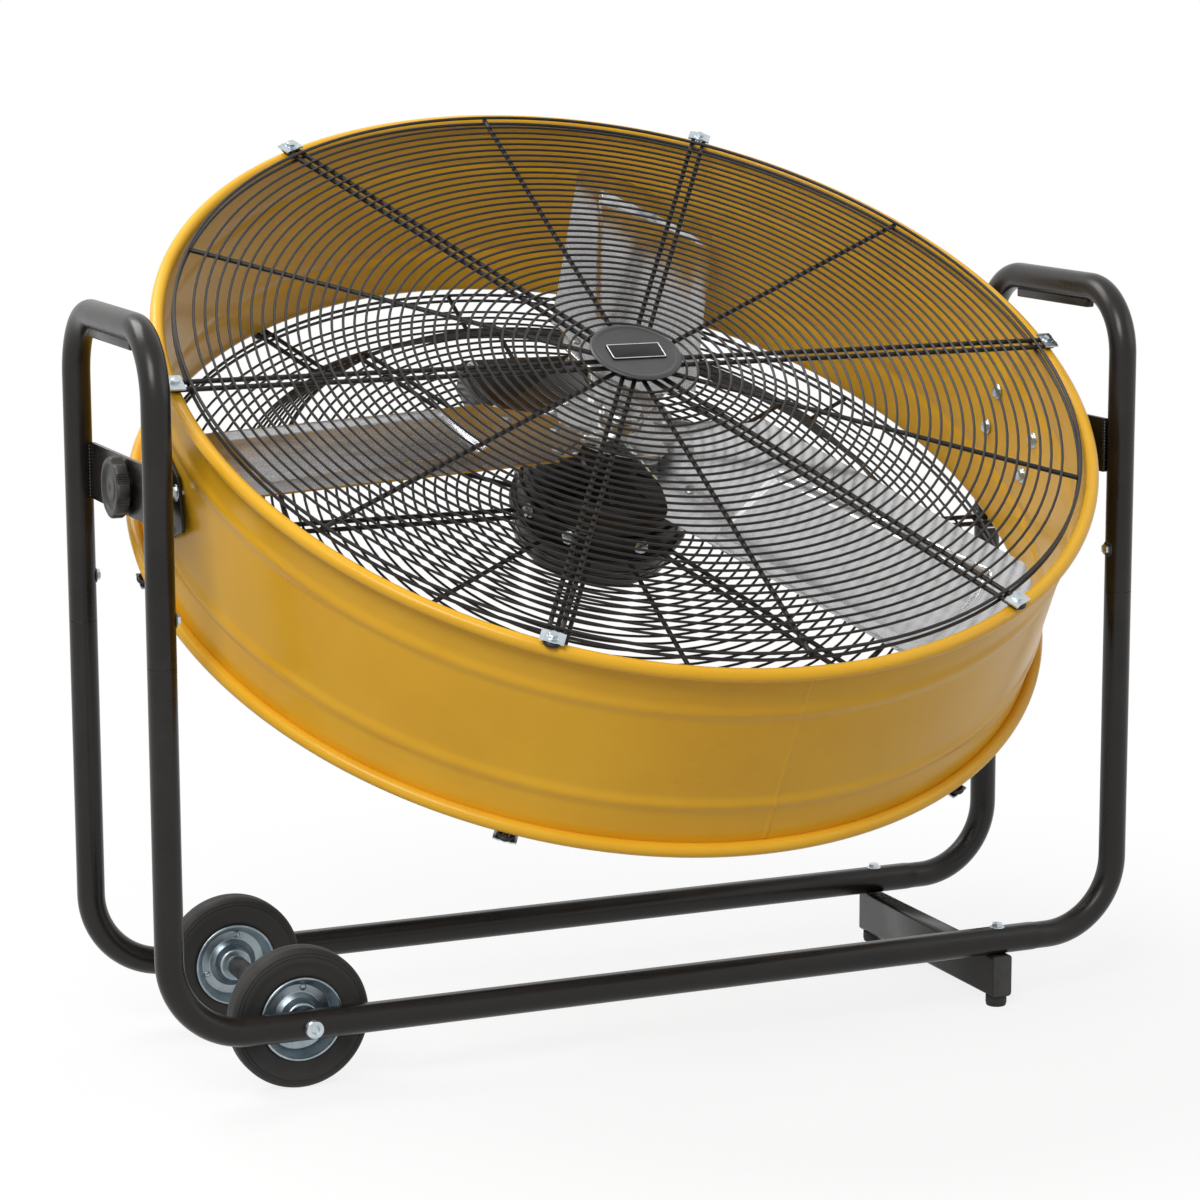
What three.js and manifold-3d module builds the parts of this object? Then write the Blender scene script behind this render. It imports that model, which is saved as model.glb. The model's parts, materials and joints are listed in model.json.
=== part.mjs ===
// Floor-standing drum fan: a tilting sheet-metal drum with wire guards and a three-blade fan,
// held between two bent-tube frames that roll on two wheels and rest on a bar with two feet.
// Millimetres, +Z up. The origin is on the floor, midway between the two frames and between the
// wheel end and the foot end. The drum tilts about the line along X at pivotHeight.
import * as THREE from 'three';
import { mergeVertices } from 'three/addons/utils/BufferGeometryUtils.js';
import Module from 'manifold-3d';

const wasm = await Module();
wasm.setup();

// ---- Fits
const clearance = 0.3; // between pieces that touch
const runningGap = 0.8; // between pieces that turn past each other

// ---- Drum shell
const drumInner = 465; // bore radius
const drumWall = 1.6;
const drumHalfDepth = 106; // mid-depth to the centre of each rolled rim
const rimRoll = 7; // radius of the rolled rim
const beadRise = 2.5;
const beadHeight = 16;
const beadFromRim = 50;
const drumTilt = 29.5; // degrees the open face leans forward from facing straight up

// ---- Frames
const tubeOuter = 28; // diameter
const tubeWall = 1.8;
const sideGap = 22; // drum rim to the inner face of the side plates
const tubeSpacing = 277; // front tube axis to rear tube axis
const frameBend = 78; // bend radius at the tube axis
const handleBend = 66;
const pivotHeight = 582;
const seamHeight = 430; // where a handle meets the lower frame
const gripHeight = 742; // axis of the handle's top
const sleeveReach = 55; // of the inner sleeve, each way from the seam
const sleeveWall = 2;
const gripStripDrop = 9; // of the folded strip under the grip
const gripStripWidth = 10;
const handleBoltRise = 45; // above the seam
const boltRadius = 3; // hex bolts through the frames, the foot bar and the pivot plates
const boltAcross = 10;
const boltHead = 4;
const sidePlateHeight = 56;
const sidePlateThickness = 5;

// ---- Wheels and axle
const wheelDiameter = 140;
const tyreWidth = 28;
const tyreShoulder = 6;
const tyreBevel = 3;
const tyreWallRise = 14; // from the tyre's bore to the full width
const wheelInset = 137; // axle from the legs of the wheel end
const wheelOffset = 106; // mid-plane of a wheel from the middle of the fan
const discRadius = 41;
const discSheet = 1.5;
const discWeb = 34; // radius of the flat part of a disc
const discLip = 12.5; // lip from the wheel's mid-plane
const discHubRadius = 20;
const discStep = 4;
const discHubRise = 14; // from the wheel's mid-plane
const axleRadius = 6.35;
const bushWall = 3;
const spacerWall = 3.5;
const axleCapRadius = 9;
const axleCapLength = 7;
const axleCapWall = 3; // thickness of its closed end

// ---- Foot bar
const footBarInset = 137; // from the legs of the foot end
const footBarWidth = 23;
const footBarOverhang = 12; // past the tube axis
const footBarWall = 2;
const footRadius = 11;
const footHeight = 11;
const footEdge = 1;
const footBoltBite = 6; // into the rubber

// ---- Pivots and knobs
const pivotPlateThickness = 4;
const pivotPlateTangent = 76; // half size along the drum's circumference
const pivotPlateAxial = 37; // half size along the drum's depth
const plateBoltTangent = 44;
const plateBoltAxial = 23;
const bossRadius = 16;
const studRadius = 5;
const knobRadius = 30;
const knobThickness = 14;
const knobScallop = 1.6;
const knobLobes = 8;
const knobRing = 7; // width of the raised ring on its face
const knobRecess = 3;
const studMargin = 3; // between the stud's end and the pivot plate
const knobCollarRadius = 13;
const knobCollarLength = 2.5;

// ---- Guards
const wire = 5; // spokes and outer ring
const ringWire = 4;
const ringBite = 1; // how far a ring is welded into the spokes
const guardPairs = 6; // doubled spokes, with a single one between each two
const guardRingCount = 3;
const edgeRingWidth = 8;
const guardEdge = 12; // outer ring inside the drum's bore
const spokeWidth = 17; // a pair of wires
const loopReach = 3; // spoke ends past the rim
const hubDiscRadius = 42;
const dishOuter = 384; // rear guard steps inward between these radii
const dishInner = 330;
const dishDepth = 51;
const rearGuardBore = 92;
const clipLength = 23;
const clipWidth = 15;
const clipThickness = 2.5;
const clipScrewRadius = 2.5;
const clipScrewAcross = 8;
const hubDiscBore = 10;
const hubCapRadius = 47;
const hubCapHeight = 12;
const hubCapEdge = 4;
const badgeWidth = 58;
const badgeHeight = 26;
const badgeThickness = 1.6;
const badgeSink = 1.3; // depth of its recess in the cap

// ---- Motor
const motorRadius = 84;
const barrelRear = -92;
const barrelFront = -22;
const barrelWall = 3;
const bellWall = 3;
const bellEdge = 8;
const shaftRadius = 8;
const bearingRadius = 20;
const bearingWidth = 11;
const statorInner = 50;
const statorMargin = 8; // stator ends inside the barrel ends
const mountBand = 3;
const mountBandHeight = 24;
const mountFlange = 25;
const mountBoltCount = 8;
const mountBoltStart = -169; // degrees

// ---- Switch box
const boxWidth = 136;
const boxDepth = 100;
const boxHeight = 32;
const boxX = -18;
const boxY = 167;
const boxWall = 2.5;
const boxLid = 2.5;
const glandRadius = 9;
const glandBore = 5;
const glandLength = 16;
const capacitorRadius = 11;
const capacitorLength = 70;

// ---- Fan
const tipGap = 13;
const bladeThickness = 2;
const bladePitch = 16; // degrees
const bladeLead = 89; // leading side, from the blade's radial line
const bladeTrail = 78;
const bladeRoot = 62;
const rootChamfer = 50;
const tipChamfer = 20;
const bladeFirst = 64.6; // degrees
const bladeCount = 3;
const bladeCentre = 46; // height of the blades' radial line over the drum's middle
const armLength = 128;
const armRootHalf = 18;
const armNeck = 60;
const armNeckHalf = 30;
const armPad = 85; // where its pad under the rivets starts
const armLead = 72;
const armTrail = 46;
const armThickness = 3;
const hubRadius = 24;
const hubHeight = 34;
const shaftEnd = 2; // past the hub
const rivetRadius = 3;
const rivetHead = 5.5;
const rivetHeadHeight = 1.8;

// ---- Facets
const drumFacets = 36;
const guardFacets = 24;
const tubeFacets = 12;
const boreFacets = 8;
const turnedFacets = 16;
const smallFacets = 6;
const bendSteps = 5;
const rimSteps = 6;
const motorFacets = 24;
const tyreFacets = 32;

// ---- Places that follow from the sizes
const radians = THREE.MathUtils.degToRad;
const baseHeight = wheelDiameter / 2;
const rimCentre = drumInner + rimRoll;
const rimOuter = drumInner + 2 * rimRoll;
const rimFace = drumHalfDepth + rimRoll;
const drumOuter = drumInner + drumWall;
const plateInner = rimOuter + sideGap;
const plateOuter = plateInner + sidePlateThickness;
const legX = plateInner + tubeOuter / 2;
const tubeY = tubeSpacing / 2;
const wheelX = wheelInset - legX;
const footBarX = legX - footBarInset;
const tubeInner = tubeOuter - 2 * tubeWall;
const spokeZ = rimFace + clearance + wire / 2;
const bladeTip = drumInner - tipGap;
const guardStep = 360 / guardPairs;
const rotorRadius = statorInner * Math.cos(Math.PI / turnedFacets) - runningGap;

// ---------------------------------------------------------------- geometry helpers

function solidOf(geometry) {
  const bare = geometry.clone();
  bare.deleteAttribute('normal');
  bare.deleteAttribute('uv');
  const merged = mergeVertices(bare, 1e-4);
  const index = merged.index.array;
  const kept = [];
  for (let i = 0; i < index.length; i += 3) {
    const [a, b, c] = [index[i], index[i + 1], index[i + 2]];
    if (a !== b && b !== c && c !== a) kept.push(a, b, c);
  }
  const vertProperties = new Float32Array(merged.attributes.position.array);
  return new wasm.Manifold(new wasm.Mesh({ numProp: 3, vertProperties, triVerts: new Uint32Array(kept) }));
}

function geometryOf(solid) {
  const mesh = solid.getMesh();
  const geometry = new THREE.BufferGeometry();
  geometry.setAttribute('position', new THREE.BufferAttribute(new Float32Array(mesh.vertProperties), 3));
  geometry.setIndex(new THREE.BufferAttribute(new Uint32Array(mesh.triVerts), 1));
  geometry.computeVertexNormals();
  return geometry;
}

// Joins pieces, then cuts the cutters out of them.
function shaped(pieces, cutters = []) {
  const whole = pieces.map(solidOf).reduce((sum, piece) => sum.add(piece));
  return geometryOf(cutters.map(solidOf).reduce((rest, cutter) => rest.subtract(cutter), whole));
}

function turned(profile, facets = turnedFacets) {
  const points = vectors(profile);
  if (THREE.ShapeUtils.area(points) < 0) points.reverse();
  const onAxis = points.some((point) => point.x === 0);
  if (onAxis) {
    while (!(points[0].x === 0 && points[points.length - 1].x === 0)) points.push(points.shift());
  } else {
    points.push(points[0].clone());
  }
  return new THREE.LatheGeometry(points, facets).rotateX(Math.PI / 2);
}

function rod(radius, from, to, facets = turnedFacets) {
  return turned([[0, from], [radius, from], [radius, to], [0, to]], facets);
}

// A cutter for the hole that a round piece of this radius passes through.
function bore(radius, from, to, facets = boreFacets) {
  return rod((radius + clearance) / Math.cos(Math.PI / facets), from, to, facets);
}

function sleeve(inner, outer, from, to, facets = turnedFacets) {
  return turned([[inner, from], [outer, from], [outer, to], [inner, to]], facets);
}

function hexRod(across, from, to) {
  const radius = across / Math.sqrt(3);
  const rod = new THREE.CylinderGeometry(radius, radius, to - from, 6);
  return rod.rotateX(Math.PI / 2).translate(0, 0, (from + to) / 2);
}

function box(x, y, z, width, depth, height) {
  return new THREE.BoxGeometry(width, depth, height).translate(x, y, z);
}

const vectors = (line) => line.map(([x, y]) => new THREE.Vector2(x, y));

function plate(outline, thickness) {
  return new THREE.ExtrudeGeometry(new THREE.Shape(vectors(outline)), { depth: thickness, bevelEnabled: false });
}

function circle(radius, facets) {
  const turns = Array.from({ length: facets }, (_, i) => (2 * Math.PI * i) / facets);
  return turns.map((turn) => new THREE.Vector2(radius * Math.cos(turn), radius * Math.sin(turn)));
}

// A closed strip of even thickness along a line of points in a plane.
function strip(line, thickness) {
  const points = vectors(line);
  const sides = points.map((point, i) => {
    const before = points[Math.max(i - 1, 0)];
    const after = points[Math.min(i + 1, points.length - 1)];
    const into = point.clone().sub(before).normalize();
    const out = after.clone().sub(point).normalize();
    const along = into.clone().add(out).normalize();
    const mitre = i > 0 && i < points.length - 1 ? along.dot(out) : 1;
    return new THREE.Vector2(-along.y, along.x).multiplyScalar(thickness / 2 / mitre);
  });
  const left = points.map((point, i) => point.clone().add(sides[i]).toArray());
  const right = points.map((point, i) => point.clone().sub(sides[i]).toArray());
  return [...left, ...right.reverse()];
}

// A tube's axis: straight runs joined by arcs, with a section only where the tube needs one.
class BentAxis extends THREE.Curve {
  constructor(corners, bend) {
    super();
    const last = corners.length - 1;
    this.stations = [{ at: corners[0], along: corners[1].clone().sub(corners[0]).normalize() }];
    for (let i = 1; i < last; i += 1) this.addBend(...corners.slice(i - 1, i + 2), bend);
    this.stations.push({ at: corners[last], along: corners[last].clone().sub(corners[last - 1]).normalize() });
  }

  addBend(before, corner, after, bend) {
    const into = corner.clone().sub(before).normalize();
    const out = after.clone().sub(corner).normalize();
    const angle = into.angleTo(out);
    const start = corner.clone().addScaledVector(into, -bend * Math.tan(angle / 2));
    const inward = out.clone().addScaledVector(into, -out.dot(into)).normalize();
    const centre = start.clone().addScaledVector(inward, bend);
    for (let i = 0; i <= bendSteps; i += 1) {
      const turn = (angle * i) / bendSteps;
      const along = into.clone().multiplyScalar(Math.cos(turn)).addScaledVector(inward, Math.sin(turn));
      const outward = into.clone().multiplyScalar(Math.sin(turn)).addScaledVector(inward, -Math.cos(turn));
      this.stations.push({ at: centre.clone().addScaledVector(outward, bend), along });
    }
  }

  station(u, key) {
    const place = u * (this.stations.length - 1);
    const i = Math.min(Math.floor(place), this.stations.length - 2);
    return this.stations[i][key].clone().lerp(this.stations[i + 1][key], place - i);
  }

  getPoint(t) { return this.station(t, 'at'); }

  getPointAt(u) { return this.station(u, 'at'); }

  getTangentAt(u) { return this.station(u, 'along').normalize(); }
}

function bentTube(corners, bend) {
  const axis = new BentAxis(corners.map((corner) => new THREE.Vector3(...corner)), bend);
  const section = new THREE.Shape(circle(tubeOuter / 2, tubeFacets));
  section.holes.push(new THREE.Path(circle(tubeInner / 2, boreFacets)));
  const steps = axis.stations.length - 1;
  return new THREE.ExtrudeGeometry(section, { steps, extrudePath: axis, bevelEnabled: false });
}

// Turns a piece made along Z to lie along X or Y.
const alongX = (geometry) => geometry.rotateY(Math.PI / 2);
const alongY = (geometry) => geometry.rotateX(-Math.PI / 2);

// Copies of one piece about Z.
function around(count, make, firstDegrees = 0) {
  return Array.from({ length: count }, (_, i) => make().rotateZ(radians(firstDegrees + (360 * i) / count)));
}

// ---------------------------------------------------------------- scene graph

const group = new THREE.Group();
const drum = new THREE.Group();
drum.position.z = pivotHeight;
drum.rotation.x = radians(drumTilt);
group.add(drum);

const finishes = {
  blackPaint: { color: '#2b2927', roughness: 0.45, metalness: 0.2 },
  yellowPaint: { color: '#e3ac35', roughness: 0.35, metalness: 0.1 },
  guardPaint: { color: '#35322f', roughness: 0.5, metalness: 0.3 },
  zinc: { color: '#b9c4c9', roughness: 0.3, metalness: 0.9 },
  steel: { color: '#8e8e8c', roughness: 0.4, metalness: 0.9 },
  aluminium: { color: '#a5a29f', roughness: 0.35, metalness: 0.9 },
  rubber: { color: '#1f1e1d', roughness: 0.8, metalness: 0 },
  blackPlastic: { color: '#232222', roughness: 0.55, metalness: 0 },
  greyPlastic: { color: '#5f5f61', roughness: 0.5, metalness: 0 },
  copper: { color: '#9a5a34', roughness: 0.4, metalness: 0.8 },
};

function add(parent, name, geometry, finish) {
  const mesh = new THREE.Mesh(geometry, new THREE.MeshStandardMaterial(finishes[finish]));
  mesh.name = name;
  parent.add(mesh);
}

// ---------------------------------------------------------------- frames

// A hex bolt along Z: its head upward from 0, its shank downward.
function hexBolt(radius, across, shankLength) {
  return shaped([hexRod(across, 0, boltHead), rod(radius, -shankLength, boltHead / 2, smallFacets)]);
}

const boltHole = (from, to) => bore(boltRadius, from, to, smallFacets);

function addLowerFrame(name, y) {
  const left = [[-legX, y, seamHeight], [-legX, y, baseHeight]];
  const right = [[legX, y, baseHeight], [legX, y, seamHeight]];
  const axleHole = alongY(bore(axleRadius, -tubeOuter, tubeOuter)).translate(wheelX, y, baseHeight);
  const footHole = boltHole(-tubeOuter, tubeOuter).translate(footBarX, y, baseHeight);
  add(group, name, shaped([bentTube([...left, ...right], frameBend)], [axleHole, footHole]), 'blackPaint');
}

function addHandle(name, side) {
  const x = side * legX;
  const bottom = seamHeight + clearance;
  const front = [[x, -tubeY, bottom], [x, -tubeY, gripHeight]];
  const rear = [[x, tubeY, gripHeight], [x, tubeY, bottom]];
  const stripLength = tubeSpacing - 2 * handleBend;
  const stripTop = gripHeight - tubeOuter / 2 + tubeWall / 2;
  const folded = box(x, 0, stripTop - gripStripDrop / 2, gripStripWidth, stripLength, gripStripDrop);
  const holes = [-tubeY, tubeY].map((y) => facingIn(boltHole(-tubeOuter / 2, tubeOuter), side, 0)
    .translate(0, y, seamHeight + handleBoltRise));
  add(group, name, shaped([bentTube([...front, ...rear], handleBend), folded], holes), 'blackPaint');
}

// Turns a piece made along Z toward the fan's middle, starting at a leg's inner side.
function facingIn(geometry, side, gap) {
  const seat = legX - tubeOuter / 2 - gap;
  return alongX(geometry).rotateZ(side > 0 ? Math.PI : 0).translate(side * seat, 0, 0);
}

// The sleeve inside a leg's seam, with the bolt that holds the handle threaded into it.
function addSeam(name, side, y) {
  const outer = (tubeInner / 2) * Math.cos(Math.PI / boreFacets) - clearance;
  const tube = sleeve(outer - sleeveWall, outer, -sleeveReach, sleeveReach, boreFacets)
    .translate(side * legX, y, seamHeight);
  const shank = tubeOuter / 2 + clearance - outer + sleeveWall;
  const bolt = facingIn(hexBolt(boltRadius, boltAcross, shank), side, clearance)
    .translate(0, y, seamHeight + handleBoltRise);
  add(group, name, shaped([tube, bolt]), 'steel');
}

function addSidePlate(name, side) {
  const reach = tubeOuter / 2;
  const chord = Math.sqrt(reach ** 2 - (reach - sidePlateThickness) ** 2);
  const width = 2 * (tubeY - chord - clearance);
  const x = side * (plateInner + sidePlateThickness / 2);
  const blank = box(x, 0, pivotHeight, sidePlateThickness, width, sidePlateHeight);
  const hole = alongX(bore(studRadius, -sidePlateThickness, sidePlateThickness)).translate(x, 0, pivotHeight);
  add(group, name, shaped([blank], [hole]), 'blackPaint');
}

// ---------------------------------------------------------------- foot bar and feet

function addFootBar() {
  const top = baseHeight - tubeOuter / 2 - clearance;
  const bottom = footHeight + clearance;
  const length = tubeSpacing + 2 * footBarOverhang;
  const middle = (top + bottom) / 2;
  const bar = box(footBarX, 0, middle, footBarWidth, length, top - bottom);
  const inside = [footBarWidth - 2 * footBarWall, top - bottom - 2 * footBarWall];
  const hollow = box(footBarX, 0, middle, inside[0], 2 * length, inside[1]);
  const holes = [-tubeY, tubeY].map((y) => boltHole(0, baseHeight).translate(footBarX, y, 0));
  add(group, 'foot_bar', shaped([bar], [hollow, ...holes]), 'blackPaint');
}

function addFoot(name, y) {
  const foot = turned([[0, 0], [footRadius - footEdge, 0], [footRadius, footEdge], [footRadius, footHeight],
    [0, footHeight]], tubeFacets);
  const hole = boltHole(footHeight - footBoltBite - clearance, 2 * footHeight);
  add(group, `${name}_foot`, shaped([foot], [hole]).translate(footBarX, y, 0), 'rubber');
  const seat = baseHeight + tubeOuter / 2 + clearance;
  const bolt = hexBolt(boltRadius, boltAcross, seat - footHeight + footBoltBite).translate(footBarX, y, seat);
  add(group, `${name}_foot_bolt`, bolt, 'zinc');
}

// ---------------------------------------------------------------- wheels and axle

const bushHalf = tubeY - tubeOuter / 2 - runningGap - wheelOffset;
const bushOuter = axleRadius + clearance + bushWall;
const onAxle = (geometry, y) => alongY(geometry).translate(wheelX, y, baseHeight);

// Half-section of a pressed disc that starts at this radius on the hub.
function discProfile(hubRim) {
  const web = (discSheet + clearance) / 2;
  const hub = [[hubRim, discHubRise], [discHubRadius - discStep, discHubRise], [discHubRadius, web + discStep]];
  const rim = [[discHubRadius + discStep, web], [discWeb, web], [discRadius - discSheet / 2, discLip]];
  return strip([...hub, ...rim], discSheet);
}

function tyre() {
  const outer = wheelDiameter / 2;
  const half = tyreWidth / 2;
  const inner = discRadius + clearance;
  const side = [[inner, half - tyreBevel], [inner + tyreWallRise, half], [outer - tyreShoulder, half],
    [outer, half - tyreShoulder]];
  return turned([...side, ...side.map(([r, z]) => [r, -z]).reverse()], tyreFacets);
}

function addWheel(name, side) {
  const y = side * wheelOffset;
  add(group, `${name}_tyre`, onAxle(tyre(), y), 'rubber');
  const disc = turned(discProfile(bushOuter + clearance));
  add(group, `${name}_disc`, onAxle(side > 0 ? disc : disc.rotateX(Math.PI), y), 'zinc');
  const bush = sleeve(axleRadius + clearance, bushOuter, -bushHalf, bushHalf);
  const backDisc = turned(discProfile(bushOuter - bushWall / 2)).rotateX(side > 0 ? Math.PI : 0);
  add(group, `${name}_hub_disc`, onAxle(shaped([bush, backDisc]), y), 'zinc');
}

function addAxle() {
  const capStart = tubeY + tubeOuter / 2 + clearance;
  const capEnd = capStart + axleCapLength;
  const end = capEnd - axleCapWall - clearance;
  add(group, 'axle', onAxle(rod(axleRadius, -end, end), 0), 'steel');
  const spacerHalf = wheelOffset - bushHalf - runningGap;
  const inner = axleRadius + clearance;
  const spacer = sleeve(inner, inner + spacerWall, -spacerHalf, spacerHalf);
  add(group, 'axle_spacer', onAxle(spacer, 0), 'blackPlastic');
  const cap = () => turned([[inner, capStart], [axleCapRadius, capStart], [axleCapRadius, capEnd], [0, capEnd],
    [0, capEnd - axleCapWall], [inner, capEnd - axleCapWall]]);
  add(group, 'front_axle_cap', onAxle(cap().rotateX(Math.PI), 0), 'zinc');
  add(group, 'rear_axle_cap', onAxle(cap(), 0), 'zinc');
}

// ---------------------------------------------------------------- drum shell and pivots

// The rolled rim from the bore, over the rim's face, and back to the outer wall.
function rimArc(side) {
  const meet = Math.acos((rimRoll - drumWall) / rimRoll);
  const sweep = 2 * Math.PI - meet;
  return Array.from({ length: rimSteps + 1 }, (_, i) => {
    const turn = Math.PI - (sweep * i) / rimSteps;
    return [rimCentre + rimRoll * Math.cos(turn), side * (drumHalfDepth + rimRoll * Math.sin(turn))];
  });
}

// A bead pressed outward in a wall at this radius, centred at this height.
function bead(radius, z) {
  return [[radius, z + beadHeight / 2], [radius + beadRise, z], [radius, z - beadHeight / 2]];
}

function plateBoltPlaces() {
  return [[1, 1], [1, -1], [-1, 1], [-1, -1]].map(([a, b]) => [a * plateBoltTangent, b * plateBoltAxial]);
}

function addShell() {
  const high = drumHalfDepth - beadFromRim;
  const outside = [...bead(drumOuter, high), ...bead(drumOuter, -high)];
  const inside = [...bead(drumInner, -high).reverse(), ...bead(drumInner, high).reverse()];
  const shell = turned([...rimArc(1), ...outside, ...rimArc(-1).reverse(), ...inside], drumFacets);
  const holes = plateBoltPlaces().map(([y, z]) => alongX(boltHole(-rimOuter, rimOuter)).translate(0, y, z));
  add(drum, 'drum_shell', shaped([shell], holes), 'yellowPaint');
}

// The plate outside the wall, with its welded boss and the four bolts that clamp the wall.
function addPivotPlate(name, side) {
  const inner = drumOuter + clearance;
  const outer = inner + pivotPlateThickness;
  const corner = pivotPlateTangent - pivotPlateAxial;
  const outline = [[-pivotPlateTangent, 0], [-corner, -pivotPlateAxial], [corner, -pivotPlateAxial],
    [pivotPlateTangent, 0], [corner, pivotPlateAxial], [-corner, pivotPlateAxial]];
  const blank = plate(outline, pivotPlateThickness).rotateZ(Math.PI / 2).translate(0, 0, inner);
  const weld = outer - pivotPlateThickness / 2;
  const boss = sleeve(studRadius + clearance, bossRadius, weld, plateInner - runningGap);
  const chord = Math.sqrt(drumInner ** 2 - (plateBoltTangent + boltAcross / 2) ** 2);
  const wall = chord * Math.cos(Math.PI / drumFacets);
  const bolts = plateBoltPlaces().flatMap(([y, z]) => [
    hexRod(boltAcross, wall - clearance - boltHead, wall - clearance).translate(z, y, 0),
    hexRod(boltAcross, outer - clearance, outer + boltHead).translate(z, y, 0),
    rod(boltRadius, wall - boltHead, outer + boltHead / 2, smallFacets).translate(z, y, 0),
  ]);
  const whole = alongX(shaped([blank, boss, ...bolts])).rotateZ(side > 0 ? 0 : Math.PI);
  add(drum, name, whole, 'blackPaint');
}

// A hand knob with its moulded-in stud, which passes the side plate into the boss.
function addKnob(name, side) {
  const seat = plateOuter + runningGap;
  const face = seat + knobCollarLength;
  const facets = 4 * knobLobes;
  const outline = Array.from({ length: facets }, (_, i) => {
    const turn = (2 * Math.PI * i) / facets;
    const radius = knobRadius - (knobScallop * (1 - Math.cos(knobLobes * turn))) / 2;
    return [radius * Math.cos(turn), radius * Math.sin(turn)];
  });
  const grip = plate(outline, knobThickness).translate(0, 0, face);
  const collar = rod(knobCollarRadius, seat, face + clearance);
  const recess = rod(knobRadius - knobRing, face + knobThickness - knobRecess, face + 2 * knobThickness);
  const cone = rod(knobCollarRadius, face, face + knobThickness);
  const stud = rod(studRadius, drumOuter + pivotPlateThickness + studMargin, face, boreFacets);
  const knob = shaped([shaped([grip], [recess]), collar, cone, stud]);
  add(group, name, alongX(knob).rotateZ(side > 0 ? 0 : Math.PI).translate(0, 0, pivotHeight), 'blackPlastic');
}

// ---------------------------------------------------------------- guards

// Welded bars and rings. Spokes follow line, a list of radius and height points, from the
// middle out; each ring, a radius and a wire width, lies on their front.
function guard(line, rings, heightAt, middle) {
  const spoke = (width, points) => plate(strip(points, wire), width)
    .rotateX(Math.PI / 2).translate(0, width / 2, 0);
  const last = line[line.length - 1];
  const single = [...line.slice(0, -1), [rings[0][0], last[1]]];
  const hoops = rings.map(([radius, width]) => {
    const bottom = heightAt(radius) + wire / 2 - ringBite;
    return sleeve(radius - width / 2, radius + width / 2, bottom, bottom + ringWire, guardFacets);
  });
  const pairs = around(guardPairs, () => spoke(spokeWidth, line));
  const singles = around(guardPairs, () => spoke(wire, single), guardStep / 2);
  const eye = () => bore(clipScrewRadius, -wire, wire, smallFacets).translate(rimCentre, 0, 0);
  return shaped([middle, ...pairs, ...singles, ...hoops], around(guardPairs, eye));
}

function ringRadii(inner) {
  const outer = drumInner - guardEdge;
  const pitch = (outer - inner) / (guardRingCount + 1);
  const rings = Array.from({ length: guardRingCount }, (_, i) => [outer - pitch * (i + 1), ringWire]);
  return [[outer, edgeRingWidth], ...rings];
}

function addFrontGuard() {
  const line = [[hubDiscRadius - wire, 0], [rimOuter + loopReach, 0]];
  const disc = sleeve(hubDiscBore, hubDiscRadius, -wire / 2, wire / 2);
  const flat = guard(line, ringRadii(hubDiscRadius), () => 0, disc);
  add(drum, 'front_guard', flat.translate(0, 0, spokeZ), 'guardPaint');
}

// Height of the rear guard's spokes over their outer zone: its inner zone lies deep in the drum.
function dishHeight(radius) {
  const share = (dishOuter - radius) / (dishOuter - dishInner);
  return -dishDepth * Math.min(Math.max(share, 0), 1);
}

function addRearGuard() {
  const radii = [rearGuardBore, dishInner, dishOuter, rimOuter + loopReach];
  const line = radii.map((radius) => [radius, dishHeight(radius)]);
  const collar = sleeve(rearGuardBore, rearGuardBore + 2 * wire, -wire / 2, wire / 2).translate(0, 0, -dishDepth);
  const dished = guard(line, ringRadii(rearGuardBore), dishHeight, collar);
  const screws = around(guardPairs, () => clip(-ringBite).translate(0, 0, wire / 2));
  const whole = shaped([dished, ...screws]).rotateX(Math.PI).translate(0, 0, -spokeZ);
  add(drum, 'rear_guard', whole, 'guardPaint');
}

// A plate over a guard's loop, with the screw that holds the loop to the rolled rim, and the
// loop's front at height 0.
function clip(seat) {
  const top = seat + clipThickness;
  const blank = box(rimCentre, 0, seat + clipThickness / 2, clipWidth, clipLength, clipThickness);
  const screw = hexBolt(clipScrewRadius, clipScrewAcross, top + wire).translate(rimCentre, 0, top);
  return shaped([blank, screw]);
}

function addFrontClips() {
  const front = spokeZ + wire / 2;
  for (let i = 0; i < guardPairs; i += 1) {
    const placed = clip(clearance).rotateZ(radians(guardStep * i)).translate(0, 0, front);
    add(drum, `front_clip_${i + 1}`, placed, 'zinc');
  }
}

function addHubCap() {
  const seat = spokeZ + wire / 2 + clearance;
  const top = seat + hubCapHeight;
  const cap = turned([[0, seat], [hubCapRadius, seat], [hubCapRadius, seat + hubCapEdge],
    [hubCapRadius - hubCapEdge, top - hubCapEdge / 2], [hubCapRadius - 2 * hubCapEdge, top], [0, top]]);
  const stem = rod(hubDiscBore - clearance, seat - wire - clearance, seat + hubCapEdge);
  const floor = top - badgeSink;
  const pocket = box(0, 0, top, badgeWidth + 2 * clearance, badgeHeight + 2 * clearance, 2 * badgeSink);
  add(drum, 'hub_cap', shaped([cap, stem], [pocket]), 'greyPlastic');
  const badge = box(0, 0, floor + clearance + badgeThickness / 2, badgeWidth, badgeHeight, badgeThickness);
  add(drum, 'blank_badge', badge, 'blackPlastic');
}

// ---------------------------------------------------------------- motor

const bearingSeat = bearingRadius + clearance;
const guardFace = -spokeZ + dishDepth + wire / 2 + clearance; // front of the rear guard's inner zone
const rearPocket = barrelRear - bearingWidth;
const frontPocket = barrelFront + bearingWidth;

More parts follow.
